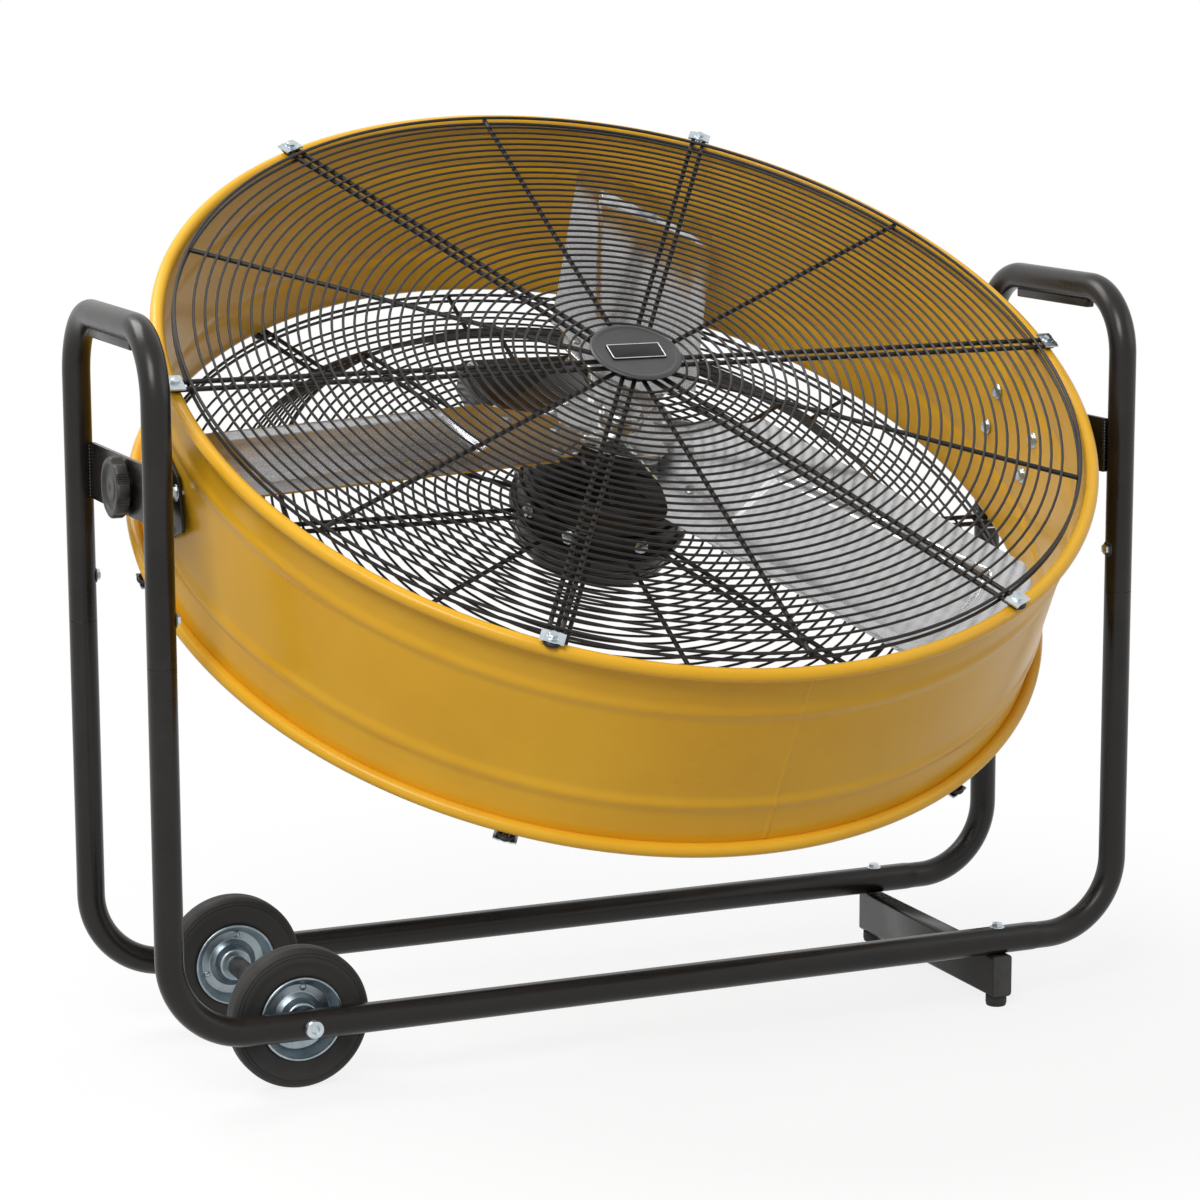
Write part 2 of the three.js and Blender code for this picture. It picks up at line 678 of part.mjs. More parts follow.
function addMotorCase() {
  const barrel = sleeve(motorRadius - barrelWall, motorRadius, barrelRear, barrelFront, motorFacets);
  add(drum, 'motor_barrel', barrel, 'blackPaint');
  const flat = motorRadius - bellEdge;
  const rear = barrelRear - clearance;
  const rearEnd = rearPocket - bellWall;
  const rearBell = turned([[0, rearEnd], [flat, rearEnd], [motorRadius, rearEnd + bellEdge], [motorRadius, rear],
    [bearingSeat, rear], [bearingSeat, rearPocket], [0, rearPocket]], motorFacets);
  add(drum, 'motor_rear_bell', rearBell, 'blackPaint');
  const front = barrelFront + clearance;
  const frontEnd = frontPocket + bellWall;
  const hole = shaftRadius + runningGap;
  const frontBell = turned([[bearingSeat, front], [motorRadius, front], [motorRadius, frontEnd - bellEdge],
    [flat, frontEnd], [hole, frontEnd], [hole, frontPocket], [bearingSeat, frontPocket]], motorFacets);
  add(drum, 'motor_front_bell', frontBell, 'blackPaint');
}

function addMotorInside() {
  const from = barrelRear + statorMargin;
  const to = barrelFront - statorMargin;
  const barrelBore = (motorRadius - barrelWall) * Math.cos(Math.PI / motorFacets);
  add(drum, 'stator', sleeve(statorInner, barrelBore - clearance, from, to), 'copper');
  add(drum, 'rotor', sleeve(shaftRadius + clearance, rotorRadius, from, to), 'steel');
  const race = (start, end) => sleeve(shaftRadius + clearance, bearingRadius, start, end);
  add(drum, 'rear_bearing', race(rearPocket + clearance, barrelRear - clearance), 'steel');
  add(drum, 'front_bearing', race(barrelFront + clearance, frontPocket - clearance), 'steel');
}

// The ring that carries the motor on the rear guard, with its bolts into the barrel.
function addMotorMount() {
  const inner = motorRadius + clearance;
  const band = inner + mountBand;
  const rim = inner + mountFlange;
  const top = guardFace + mountBandHeight;
  const flangeTop = guardFace + mountBand;
  const ring = turned([[inner, guardFace], [rim, guardFace], [rim, flangeTop], [band, flangeTop], [band, top],
    [inner, top]], motorFacets);
  const bolt = () => alongX(hexRod(boltAcross, inner + mountBand / 2, band + boltHead))
    .translate(0, 0, (flangeTop + top) / 2);
  add(drum, 'motor_mount', shaped([ring, ...around(mountBoltCount, bolt, mountBoltStart)]), 'blackPaint');
}

// ---------------------------------------------------------------- switch box

function addSwitchBox() {
  const top = guardFace + boxHeight;
  const middle = (guardFace + top) / 2;
  const body = box(boxX, boxY, middle, boxWidth, boxDepth, boxHeight);
  const deep = 2 * (boxHeight - boxWall);
  const inside = box(boxX, boxY, top, boxWidth - 2 * boxWall, boxDepth - 2 * boxWall, deep);
  const glandX = boxX + boxWidth / 4;
  const glandY = boxY + boxDepth / 2;
  const glandHole = alongY(rod(glandBore, -2 * boxWall, boxWall, boreFacets))
    .translate(glandX, glandY, middle);
  add(drum, 'switch_box', shaped([body], [inside, glandHole]), 'blackPaint');
  const lid = box(boxX, boxY, top + clearance + boxLid / 2, boxWidth, boxDepth, boxLid);
  add(drum, 'switch_box_lid', lid, 'blackPaint');
  const gland = sleeve(glandBore, glandRadius, clearance, glandLength, boreFacets);
  add(drum, 'cable_gland', alongY(gland).translate(glandX, glandY, middle), 'blackPlastic');
  const capacitor = alongX(rod(capacitorRadius, -capacitorLength / 2, capacitorLength / 2));
  const floor = guardFace + boxWall;
  add(drum, 'capacitor', capacitor.translate(boxX, boxY, floor + clearance + capacitorRadius), 'greyPlastic');
}

// ---------------------------------------------------------------- fan

// Rivets on an arm: distance out along the blade, and across it.
const rivetPlaces = [[78, 10], [111, -34], [100, 60]];

const pitched = (geometry) => geometry.rotateX(radians(bladePitch)).translate(0, 0, bladeCentre);

// An outline across a blade, in from the tip by an arc about the fan's axis.
function bladeOutline() {
  const across = [-bladeTrail, -bladeTrail / 2, 0, bladeLead / 2, bladeLead - tipChamfer];
  const tip = across.map((y) => [Math.sqrt(bladeTip ** 2 - y ** 2), y]);
  const leadOut = Math.sqrt(bladeTip ** 2 - bladeLead ** 2) - tipChamfer;
  return [[bladeRoot, -bladeTrail / 3], [bladeRoot + rootChamfer, -bladeTrail], ...tip, [leadOut, bladeLead],
    [bladeRoot + rootChamfer, bladeLead], [bladeRoot, bladeLead / 3]];
}

function addBlade(name, turn) {
  const holes = rivetPlaces.map(([out, across]) => bore(rivetRadius, -rivetRadius, rivetRadius, smallFacets)
    .translate(out, across, 0));
  const blade = pitched(shaped([plate(bladeOutline(), bladeThickness)], holes)).rotateZ(radians(turn));
  add(drum, name, blade, 'aluminium');
}

// One arm of the fan's hub, with the rivets that hold its blade.
function bladeArm() {
  const seat = bladeThickness + clearance;
  const root = hubRadius / 2;
  const outline = [[root, -armRootHalf], [armNeck, -armNeckHalf], [armPad, -armTrail], [armLength, -armTrail],
    [armLength, armLead], [armPad, armLead], [armNeck, armNeckHalf], [root, armRootHalf]];
  const arm = plate(outline, armThickness).translate(0, 0, seat);
  const rivets = rivetPlaces.map(([out, across]) => turned([[0, -clearance - rivetHeadHeight],
    [rivetHead, -clearance - rivetHeadHeight], [rivetHead, -clearance], [rivetRadius, -clearance],
    [rivetRadius, seat + armThickness / 2], [rivetHead, seat + armThickness / 2],
    [rivetHead, seat + armThickness + rivetHeadHeight], [0, seat + armThickness + rivetHeadHeight]], smallFacets)
    .translate(out, across, 0));
  return pitched(shaped([arm, ...rivets]));
}

function addFan() {
  for (let i = 0; i < bladeCount; i += 1) {
    addBlade(`blade_${i + 1}`, bladeFirst + (360 * i) / bladeCount);
  }
  const from = bladeCentre - hubHeight / 2;
  const to = from + hubHeight;
  const shaftBore = rod(shaftRadius + clearance, from - hubHeight, to + hubHeight);
  const arms = around(bladeCount, bladeArm, bladeFirst);
  add(drum, 'fan_hub', shaped([rod(hubRadius, from, to), ...arms], [shaftBore]), 'steel');
  add(drum, 'motor_shaft', rod(shaftRadius, rearPocket + clearance, to + shaftEnd), 'steel');
}

// ---------------------------------------------------------------- assembly

for (const [end, y] of [['front', -tubeY], ['rear', tubeY]]) {
  addLowerFrame(`${end}_frame`, y);
  addSeam(`${end}_left_joint`, -1, y);
  addSeam(`${end}_right_joint`, 1, y);
  addFoot(end, y);
  addWheel(`${end}_wheel`, Math.sign(y));
}
for (const [side, sign] of [['left', -1], ['right', 1]]) {
  addHandle(`${side}_handle`, sign);
  addSidePlate(`${side}_side_plate`, sign);
  addPivotPlate(`${side}_pivot_plate`, sign);
  addKnob(`${side}_knob`, sign);
}
addFootBar();
addAxle();
addShell();
addFrontGuard();
addRearGuard();
addFrontClips();
addHubCap();
addMotorCase();
addMotorInside();
addMotorMount();
addSwitchBox();
addFan();

export default group;
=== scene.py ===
import json

import bpy
import numpy as np
from mathutils import Matrix


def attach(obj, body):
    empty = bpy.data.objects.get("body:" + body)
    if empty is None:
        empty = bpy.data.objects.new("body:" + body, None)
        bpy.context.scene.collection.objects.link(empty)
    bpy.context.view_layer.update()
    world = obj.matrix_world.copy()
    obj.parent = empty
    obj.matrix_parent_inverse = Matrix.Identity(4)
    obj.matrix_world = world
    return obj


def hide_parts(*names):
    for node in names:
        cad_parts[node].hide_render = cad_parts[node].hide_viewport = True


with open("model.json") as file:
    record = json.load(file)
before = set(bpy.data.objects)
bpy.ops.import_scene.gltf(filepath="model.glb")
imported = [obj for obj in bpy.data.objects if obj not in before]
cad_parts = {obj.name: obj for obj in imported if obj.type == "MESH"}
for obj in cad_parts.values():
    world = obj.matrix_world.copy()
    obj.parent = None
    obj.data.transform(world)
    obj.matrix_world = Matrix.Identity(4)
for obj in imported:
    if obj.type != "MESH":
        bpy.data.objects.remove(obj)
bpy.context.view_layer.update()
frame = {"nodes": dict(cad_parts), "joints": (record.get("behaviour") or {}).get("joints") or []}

# A floor-standing drum fan in millimetres until makePiece turns it to metres.
joints = {joint["name"]: joint for joint in frame["joints"]}
pivot = np.array(joints["drum_tilt"]["pos_m"]) * 1000
facing = np.array(joints["fan_spin"]["axis"])
drumAxes = np.stack([[1, 0, 0], np.cross(facing, [1, 0, 0]), facing])

places = {
    "legX": 515,
    "tubeY": 138.5,
    "baseHeight": 70,
    "seamHeight": 430,
    "gripHeight": 742,
    "handleBoltHeight": 475,
    "wheelX": -378,
    "wheelY": 106,
    "footBarX": 378,
    "spokeZ": 115.8,
    "rimRadius": 472,
    "motorRadius": 84,
    "guardFace": -62,
}

sides = ((-1, "left"), (1, "right"))
ends = (("front", -places["tubeY"]), ("rear", places["tubeY"]))


# Shapes: a shell is an array of points and a list of face blocks, each an array of point numbers.

def gridFaces(rows, columns, closeRows=False, closeColumns=False):
    # each cell of a grid of points is one face, and a closed direction runs on to its own start
    index = np.arange(rows * columns).reshape(rows, columns)
    if closeRows:
        index = np.vstack([index, index[:1]])
    if closeColumns:
        index = np.hstack([index, index[:, :1]])
    corners = [index[:-1, :-1], index[1:, :-1], index[1:, 1:], index[:-1, 1:]]
    return np.stack(corners, axis=-1).reshape(-1, 4)


def outward(points, faces):
    # the volume is the sum of a·(b×c)/6 over the triangles, and a negative one turns the faces round
    volume = 0
    for block in faces:
        for k in range(1, block.shape[1] - 1):
            turned = np.cross(points[block[:, k]], points[block[:, k + 1]])
            volume += np.einsum("ij,ij->", points[block[:, 0]], turned)
    return points, faces if volume > 0 else [block[:, ::-1] for block in faces]


def loft(rows, closed=False):
    # joins rows of the same number of points, each a closed loop, and caps the first and the last
    rows = np.asarray(rows, float)
    count = rows.shape[1]
    faces = [gridFaces(len(rows), count, closed, True)]
    if not closed:
        end = np.arange(count)[None]
        faces += [end, end[:, ::-1] + (len(rows) - 1) * count]
    return outward(rows.reshape(-1, 3), faces)


def revolve(profile, count=96, closed=False):
    # (r·cos θ, r·sin θ, h) for every (r, h) of the profile and every angle θ
    radius, height = np.asarray(profile, float).T[:, :, None]
    turn = np.arange(count) * 2 * np.pi / count
    rows = np.stack([radius * np.cos(turn), radius * np.sin(turn), height + 0 * turn], axis=-1)
    return loft(rows, closed)


def band(bore, outer, low, high, count):
    # a ring of rectangular section, or a tube
    return revolve([(bore, low), (outer, low), (outer, high), (bore, high)], count, True)


def unit(vectors):
    return vectors / np.linalg.norm(vectors, axis=-1, keepdims=True)


def sweep(path, section, flatNormal):
    # the section's first number goes along tangent × normal and its second along the normal
    path = np.asarray(path, float)
    section = np.asarray(section, float)
    ahead = np.vstack([path[1:], path[-1:]])
    behind = np.vstack([path[:1], path[:-1]])
    normal = np.asarray(flatNormal, float)
    side = unit(np.cross(ahead - behind, normal))
    section = np.broadcast_to(section, (len(path),) + section.shape[-2:])
    rows = path[:, None] + section[..., :1] * side[:, None] + section[..., 1:] * normal
    return loft(rows)


def circle(radius, count=12, flatten=1):
    # (r·cos θ, flatten·r·sin θ)
    turn = np.arange(count) * 2 * np.pi / count
    return np.stack([radius * np.cos(turn), flatten * radius * np.sin(turn)], axis=1)


def bentPath(corners, radius, steps=10, closed=False):
    # each corner becomes an arc of that radius that touches both of its sides
    corners = np.asarray(corners, float)
    path = []
    for k, corner in enumerate(corners):
        if not closed and k in (0, len(corners) - 1):
            path.append(corner[None])
            continue
        back = unit(corners[k - 1] - corner)
        ahead = unit(corners[(k + 1) % len(corners)] - corner)
        half = np.arccos(np.clip(back @ ahead, -1, 1)) / 2
        centre = corner + unit(back + ahead) * radius / np.sin(half)
        start = corner + back * radius / np.tan(half) - centre
        end = corner + ahead * radius / np.tan(half) - centre
        turn = np.pi - 2 * half
        share = np.linspace(0, 1, steps + 1)[:, None]
        arc = (np.sin((1 - share) * turn) * start + np.sin(share * turn) * end) / np.sin(turn)
        path.append(centre + arc)
    return np.concatenate(path)


def rectangle(width, height, radius=0.0, steps=4):
    corners = np.array([[1, -1], [1, 1], [-1, 1], [-1, -1]]) * [width / 2, height / 2]
    return bentPath(corners, radius, steps, True) if radius else corners


def ring(reach, turn, height):
    # one row of points at that height, each out by its reach
    return np.stack([reach * np.cos(turn), reach * np.sin(turn), np.full_like(turn, height)], axis=1)


def hexagon(across):
    return circle(across / np.sqrt(3), 6)


def prism(outline, levels, closed=False):
    # the outline stands at each level's height, drawn in by its inset along the mitred corner normals
    outline = np.asarray(outline, float)
    nextOne = np.roll(outline, -1, axis=0)
    if np.sum(outline[:, 0] * nextOne[:, 1] - nextOne[:, 0] * outline[:, 1]) < 0:
        outline = outline[::-1]
    along = unit(np.roll(outline, -1, axis=0) - outline)
    normal = np.stack([along[:, 1], -along[:, 0]], axis=1)
    before = np.roll(normal, 1, axis=0)
    mitre = (normal + before) / (1 + np.sum(normal * before, axis=1, keepdims=True))
    count = len(outline)
    return loft([np.column_stack([outline - inset * mitre, np.full(count, height)])
                 for height, inset in levels], closed)


def slab(outline, bottom, top, bevel=0.5):
    # a plate whose edges are rounded in two steps
    soft = bevel * 0.3
    return prism(outline, [(bottom, bevel), (bottom + soft, soft), (bottom + bevel, 0),
                           (top - bevel, 0), (top - soft, soft), (top, bevel)])


def thickened(grid, offset):
    # two copies of a grid, half the offset to each side of it, joined round the border
    rows, columns = grid.shape[:2]
    half = np.asarray(offset, float) / 2
    points = np.concatenate([(grid + half).reshape(-1, 3), (grid - half).reshape(-1, 3)])
    cells = gridFaces(rows, columns)
    index = np.arange(rows * columns).reshape(rows, columns)
    border = np.concatenate([index[:-1, 0], index[-1, :-1], index[:0:-1, -1], index[0, :0:-1]])
    nextOne = np.roll(border, -1)
    lower = rows * columns
    sides = np.stack([nextOne, border, border + lower, nextOne + lower], axis=1)
    return outward(points, [cells, cells[:, ::-1] + lower, sides])


def stripProfile(line, thickness):
    # a line of (r, h) with half the thickness to each side, as a closed profile
    line = np.asarray(line, float)
    along = unit(np.gradient(line, axis=0))
    across = np.stack([-along[:, 1], along[:, 0]], axis=1) * thickness / 2
    return np.concatenate([line + across, (line - across)[::-1]])


def placed(shell, origin=(0, 0, 0), axes=None):
    # the rows of axes are where the shell's own X, Y and Z point
    points = shell[0] if axes is None else shell[0] @ np.asarray(axes, float)
    return points + np.asarray(origin, float), shell[1]


def aimed(shell, origin, direction):
    # turns the shell's Z to a direction
    z = unit(np.asarray(direction, float))
    x = unit(np.cross([0, 1, 0] if abs(z[1]) < 0.9 else [1, 0, 0], z))
    return placed(shell, origin, [x, np.cross(z, x), z])


def turnedBy(shell, degrees):
    turn = np.radians(degrees)
    c, s = np.cos(turn), np.sin(turn)
    return placed(shell, axes=[[c, s, 0], [-s, c, 0], [0, 0, 1]])


def joined(shells):
    points, faces, start = [], [], 0
    for shellPoints, shellFaces in shells:
        points.append(shellPoints)
        faces += [block + start for block in shellFaces]
        start += len(shellPoints)
    return np.concatenate(points), faces


def around(shell, angles):
    return joined([turnedBy(shell, angle) for angle in angles])


def atCorners(shell, x, y, middle=(0, 0)):
    # one copy at each corner of a rectangle, x and y from its middle
    spots = [(middle[0] + a * x, middle[1] + b * y, 0) for a in (-1, 1) for b in (-1, 1)]
    return joined([placed(shell, spot) for spot in spots])


def inDrum(shell):
    # from the drum's own axes, Z out of its open face, to the row frame
    return placed(shell, pivot, drumAxes)


def onSide(shell, side):
    # stands the shell's Z along +X or -X
    return placed(shell, axes=[[0, side, 0], [0, 0, 1], [side, 0, 0]])


def hexHead(across, bottom, top):
    # a hexagon whose top corners are turned down
    bevel = across * 0.07
    return prism(hexagon(across), [(bottom, 0), (top - bevel * 0.6, 0), (top, bevel)])


def washer(bore, radius, bottom, top, count=32):
    edge = (top - bottom) * 0.25
    return revolve([(bore, bottom), (radius - edge, bottom), (radius, bottom + edge), (radius, top - edge),
                    (radius - edge, top), (bore, top)], count, True)


def boltHead(across, seat, height, washerRadius=0, washerHeight=1.2):
    # a hex head, with a washer under it when it has a radius
    base = seat + (washerHeight if washerRadius else 0)
    parts = [hexHead(across, base, base + height)]
    if washerRadius:
        parts.append(washer(across * 0.2, washerRadius, seat, base))
    return joined(parts)


def makePiece(name, shell, look, body, node, sharpAngle=32, sheet=None):
    # one object that stands in for the CAD solid of its node, and rides on a body of the frame
    points, faces = shell
    mesh = bpy.data.meshes.new(name)
    mesh.from_pydata((points / 1000).tolist(), [], [face for block in faces for face in block.tolist()])
    mesh.shade_smooth()
    mesh.set_sharp_from_angle(angle=np.radians(sharpAngle))
    if sheet is not None:
        corners = np.empty(len(mesh.loops), int)
        mesh.loops.foreach_get("vertex_index", corners)
        layer = mesh.uv_layers.new(name="sheet")
        layer.data.foreach_set("uv", (sheet[corners] / 1000).ravel())
    mesh.materials.append(materials[look])
    piece = bpy.data.objects.new(name, mesh)
    bpy.context.scene.collection.objects.link(piece)
    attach(piece, body)
    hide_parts(node)


def standPiece(name, shell, look, node, sharpAngle=32):
    makePiece(name, shell, look, "stand", node, sharpAngle)


def drumPiece(name, shell, look, node, sharpAngle=32):
    makePiece(name, inDrum(shell), look, "drum", node, sharpAngle)


def fanPiece(name, shell, look, node, sharpAngle=32, sheet=None):
    makePiece(name, inDrum(shell), look, "fan", node, sharpAngle, sheet)


# Materials

def hexColour(code, alpha=1.0):
    # sRGB to linear: c / 12.92 below 0.04045, else ((c + 0.055) / 1.055) to the power 2.4
    value = np.array([int(code[k:k + 2], 16) for k in (1, 3, 5)]) / 255
    linear = np.where(value <= 0.04045, value / 12.92, ((value + 0.055) / 1.055) ** 2.4)
    return (*linear.tolist(), alpha)


def addNode(tree, kind, settings=None, links=None):
    node = tree.nodes.new("ShaderNode" + kind)
    for name, value in (settings or {}).items():
        if isinstance(name, str) and hasattr(node, name):
            setattr(node, name, value)
        else:
            node.inputs[name].default_value = value
    for name, source in (links or {}).items():
        tree.links.new(source, node.inputs[name])
    return node


def finish(name, look):
    # Two sizes of noise on the object's own coordinates: the broad one moves the colour and the
    # roughness between the look's two ends, and the fine one is the surface's grain as bump.
    material = bpy.data.materials.new(name)
    material.use_nodes = True
    tree = material.node_tree
    tree.nodes.clear()
    shader = addNode(tree, "BsdfPrincipled", {"Metallic": look.get("metallic", 0.0)})
    for socket, value in look.get("shader", {}).items():
        shader.inputs[socket].default_value = value
    output = addNode(tree, "OutputMaterial", links={"Surface": shader.outputs["BSDF"]})
    output.target = "ALL"
    if "sheetStretch" in look:
        source = addNode(tree, "UVMap", {"uv_map": "sheet"}).outputs["UV"]
        stretch = (*look["sheetStretch"], 1)
    else:
        source = addNode(tree, "TexCoord").outputs["Object"]
        stretch = look.get("stretch", (1, 1, 1))
    place = addNode(tree, "Mapping", {"Scale": stretch}, {"Vector": source}).outputs["Vector"]
    wave = {"Scale": 1000 / look["broadMm"], "Detail": 4.0, "Roughness": 0.6}
    broad = addNode(tree, "TexNoise", wave, {"Vector": place}).outputs["Fac"]
    grain = addNode(tree, "TexNoise", {"Scale": 1000 / look["grainMm"], "Detail": 2.0},
                    {"Vector": place}).outputs["Fac"]
    spread = addNode(tree, "MapRange", {"From Min": 0.35, "From Max": 0.65},
                     {"Value": broad}).outputs["Result"]
    colour = addNode(tree, "Mix", {"data_type": "RGBA"}, {0: spread})
    colour.inputs[6].default_value = hexColour(look["colours"][0])
    colour.inputs[7].default_value = hexColour(look["colours"][1])
    shown = colour.outputs[2]
    if "edgeWearAndHighlight" in look:
        # Pointiness is above a half on outer edges, where the colour goes to a lighter tone: real
        # rubbed-through coat and dust on the frame, motor and knobs, and a painted highlight on the drum's
        # rolled rims and on the hub cap's rim
        edge = addNode(tree, "NewGeometry").outputs["Pointiness"]
        reach = {"From Min": 0.53, "From Max": 0.6, "To Max": look["edgeWearAndHighlight"][1]}
        wornAndLitEdge = addNode(tree, "MapRange", reach, {"Value": edge}).outputs["Result"]
        patchy = addNode(tree, "Math", {"operation": "MULTIPLY"}, {0: wornAndLitEdge, 1: spread}).outputs["Value"]
        rubbedAndLitEdge = addNode(tree, "Mix", {"data_type": "RGBA"}, {0: patchy, 6: shown})
        rubbedAndLitEdge.inputs[7].default_value = hexColour(look["edgeWearAndHighlight"][0])
        shown = rubbedAndLitEdge.outputs[2]
    tree.links.new(shown, shader.inputs["Base Color"])
    low, high = look["roughness"]
    gloss = addNode(tree, "MapRange", {"From Min": 0.3, "From Max": 0.7, "To Min": low, "To Max": high},
                    {"Value": broad}).outputs["Result"]
    tree.links.new(gloss, shader.inputs["Roughness"])
    # the relief is a quarter of the grain's size, in metres
    relief = {"Strength": look["bump"], "Distance": look["grainMm"] / 4000}
    bump = addNode(tree, "Bump", relief, {"Height": grain})
    tree.links.new(bump.outputs["Normal"], shader.inputs["Normal"])
    return material


looks = {
    # powder coat on steel tube: satin black, a faint orange peel of 1.5 mm and a little dust
    "blackPowderCoat": {"slot": "black_paint", "colours": ("#151210", "#1e1a17"),
        "roughness": (0.24, 0.34), "broadMm": 70, "grainMm": 1.5, "bump": 0.07,
        "shader": {"Specular IOR Level": 0.33}, "edgeWearAndHighlight": ("#47423e", 0.3)},
    # baked enamel on rolled sheet: glossy warm yellow with a long soft wave of the sheet in its
    # highlights, and a painted highlight of light yellow on its rolled rims
    "yellowEnamel": {"slot": "yellow_paint", "colours": ("#e0a722", "#e8b12c"),
        "roughness": (0.26, 0.36), "broadMm": 160, "grainMm": 3, "bump": 0.04,
        "edgeWearAndHighlight": ("#efc04a", 0.4),
        "shader": {"Coat Weight": 0.06, "Coat Roughness": 0.1, "Specular IOR Level": 0.24}},
    # dipped wire: black paint that gathers at the welds, duller than the frame
    "paintedWire": {"slot": "guard_paint", "colours": ("#1b1918", "#272422"), "roughness": (0.34, 0.46),
        "broadMm": 14, "grainMm": 2, "bump": 0.08, "shader": {"Specular IOR Level": 0.28}},
    # die castings and rolled steel under black motor enamel
    "motorEnamel": {"slot": "black_paint", "colours": ("#0f0e0d", "#191715"), "roughness": (0.28, 0.42),
        "broadMm": 30, "grainMm": 1.8, "bump": 0.12, "shader": {"Specular IOR Level": 0.32},
        "edgeWearAndHighlight": ("#5d4e3c", 0.35)},
    # bright zinc with a blue passivated tint, cloudy at 12 mm
    "brightZinc": {"slot": "zinc_plate", "colours": ("#b4bec6", "#ccd3d6"), "metallic": 1.0,
        "roughness": (0.22, 0.36), "broadMm": 12, "grainMm": 1.2, "bump": 0.06},
    # the same plating on the big pressed discs, duller and bluer
    "dullZinc": {"slot": "zinc_plate", "colours": ("#86949c", "#a9b4b9"), "metallic": 1.0,
        "roughness": (0.26, 0.4), "broadMm": 16, "grainMm": 1.2, "bump": 0.04},
    # turned steel shaft and bearing rings
    "turnedSteel": {"slot": "bare_steel", "colours": ("#8e8e8c", "#a3a29f"), "metallic": 1.0,
        "roughness": (0.26, 0.4), "broadMm": 9, "grainMm": 0.8, "bump": 0.05},
    # rolled aluminium sheet: a clean semi-mirror with faint streaks along the rolling direction
    "rolledAluminium": {"slot": "blade_aluminium", "colours": ("#c9c9ca", "#d6d6d6"), "metallic": 1.0,
        "roughness": (0.15, 0.21), "broadMm": 90, "grainMm": 60, "bump": 0.0004,
        "sheetStretch": (1, 5)},
    # pressed steel spider in bright plate
    "platedSpider": {"slot": "bare_steel", "colours": ("#c0c0be", "#d2d2cf"), "metallic": 1.0,
        "roughness": (0.18, 0.28), "broadMm": 18, "grainMm": 1.4, "bump": 0.01},
    # tyre rubber: matt, with a fine sandy skin of 0.9 mm and dust on it
    "tyreRubber": {"slot": "tyre_rubber", "colours": ("#191817", "#262422"), "roughness": (0.6, 0.8),
        "broadMm": 22, "grainMm": 0.9, "bump": 0.35},
    "footRubber": {"slot": "foot_rubber", "colours": ("#1a1918", "#252321"), "roughness": (0.65, 0.85),
        "broadMm": 10, "grainMm": 0.7, "bump": 0.3},
    # moulded nylon: dark, with a spark-eroded grain of 0.8 mm and grey dust
    "blackNylon": {"slot": "black_plastic", "colours": ("#1e1d1c", "#312f2d"), "roughness": (0.4, 0.56),
        "broadMm": 16, "grainMm": 0.8, "bump": 0.22, "edgeWearAndHighlight": ("#6d6a66", 0.5)},
    # moulded ABS cap: even dark grey, satin, with a painted highlight of lighter grey on its rolled rim
    "greyAbs": {"slot": "grey_plastic", "colours": ("#353536", "#3d3d3e"), "roughness": (0.3, 0.4),
        "broadMm": 30, "grainMm": 0.8, "bump": 0.08, "shader": {"Specular IOR Level": 0.4},
        "edgeWearAndHighlight": ("#77777a", 0.4)},
    # anodised name-plate blank and its bright edge
    "anodisedPlate": {"slot": "black_plastic", "colours": ("#131314", "#1a1a1b"),
        "roughness": (0.4, 0.5), "broadMm": 12, "grainMm": 0.6, "bump": 0.05,
        "shader": {"Specular IOR Level": 0.2}},
    "brightEdge": {"slot": "zinc_plate", "colours": ("#c4c4c2", "#d6d6d4"), "metallic": 1.0,
        "roughness": (0.25, 0.34), "broadMm": 8, "grainMm": 0.6, "bump": 0.04},
    # lacquered copper windings, 1 mm turns
    "copperWindings": {"colours": ("#8a4f2c", "#a8623a"), "metallic": 1.0, "roughness": (0.3, 0.45),
        "broadMm": 6, "grainMm": 1, "bump": 0.6, "stretch": (1, 1, 0.2)},
}
materials = {name: finish(name, look) for name, look in looks.items()}
print("finishes made:", len(materials))


# Drum shell

drumValues = {"bore": 465, "wall": 1.6, "halfDepth": 106, "rimRoll": 7, "beadRise": 2, "beadHeight": 22,
              "beadHeightAt": 56, "seamAngle": -89.8, "seamWidth": 5, "seamThickness": 1.8,
              "seamHalf": 99, "facets": 288}


def beadRise(height):
    # one wave: rise · (1 + cos(2π · distance / bead height)) / 2
    away = np.abs(np.abs(height) - drumValues["beadHeightAt"]) / drumValues["beadHeight"]
    return np.where(away < 0.5, drumValues["beadRise"] * (1 + np.cos(2 * np.pi * away)) / 2, 0)


def wallLine(radius, start, end, count):
    height = np.linspace(start, end, count)
    return np.stack([radius + beadRise(height), height], axis=1)


def rimLine(side):
    # from the bore over the rim's face and back to the outer wall, as one arc
    v = drumValues
    meet = np.arccos((v["rimRoll"] - v["wall"]) / v["rimRoll"])
    turn = np.linspace(np.pi, meet - np.pi, 26)
    centre = v["bore"] + v["rimRoll"]
    height = side * (v["halfDepth"] + v["rimRoll"] * np.sin(turn))
    return np.stack([centre + v["rimRoll"] * np.cos(turn), height], axis=1)


def drumShell():
    v = drumValues
    front, rear = rimLine(1), rimLine(-1)[::-1]
    outside = wallLine(v["bore"] + v["wall"], front[-1, 1] - 1, rear[0, 1] + 1, 80)
    inside = wallLine(v["bore"], rear[-1, 1] + 1, front[0, 1] - 1, 80)
    return revolve(np.concatenate([front, outside, rear, inside]), v["facets"], True)


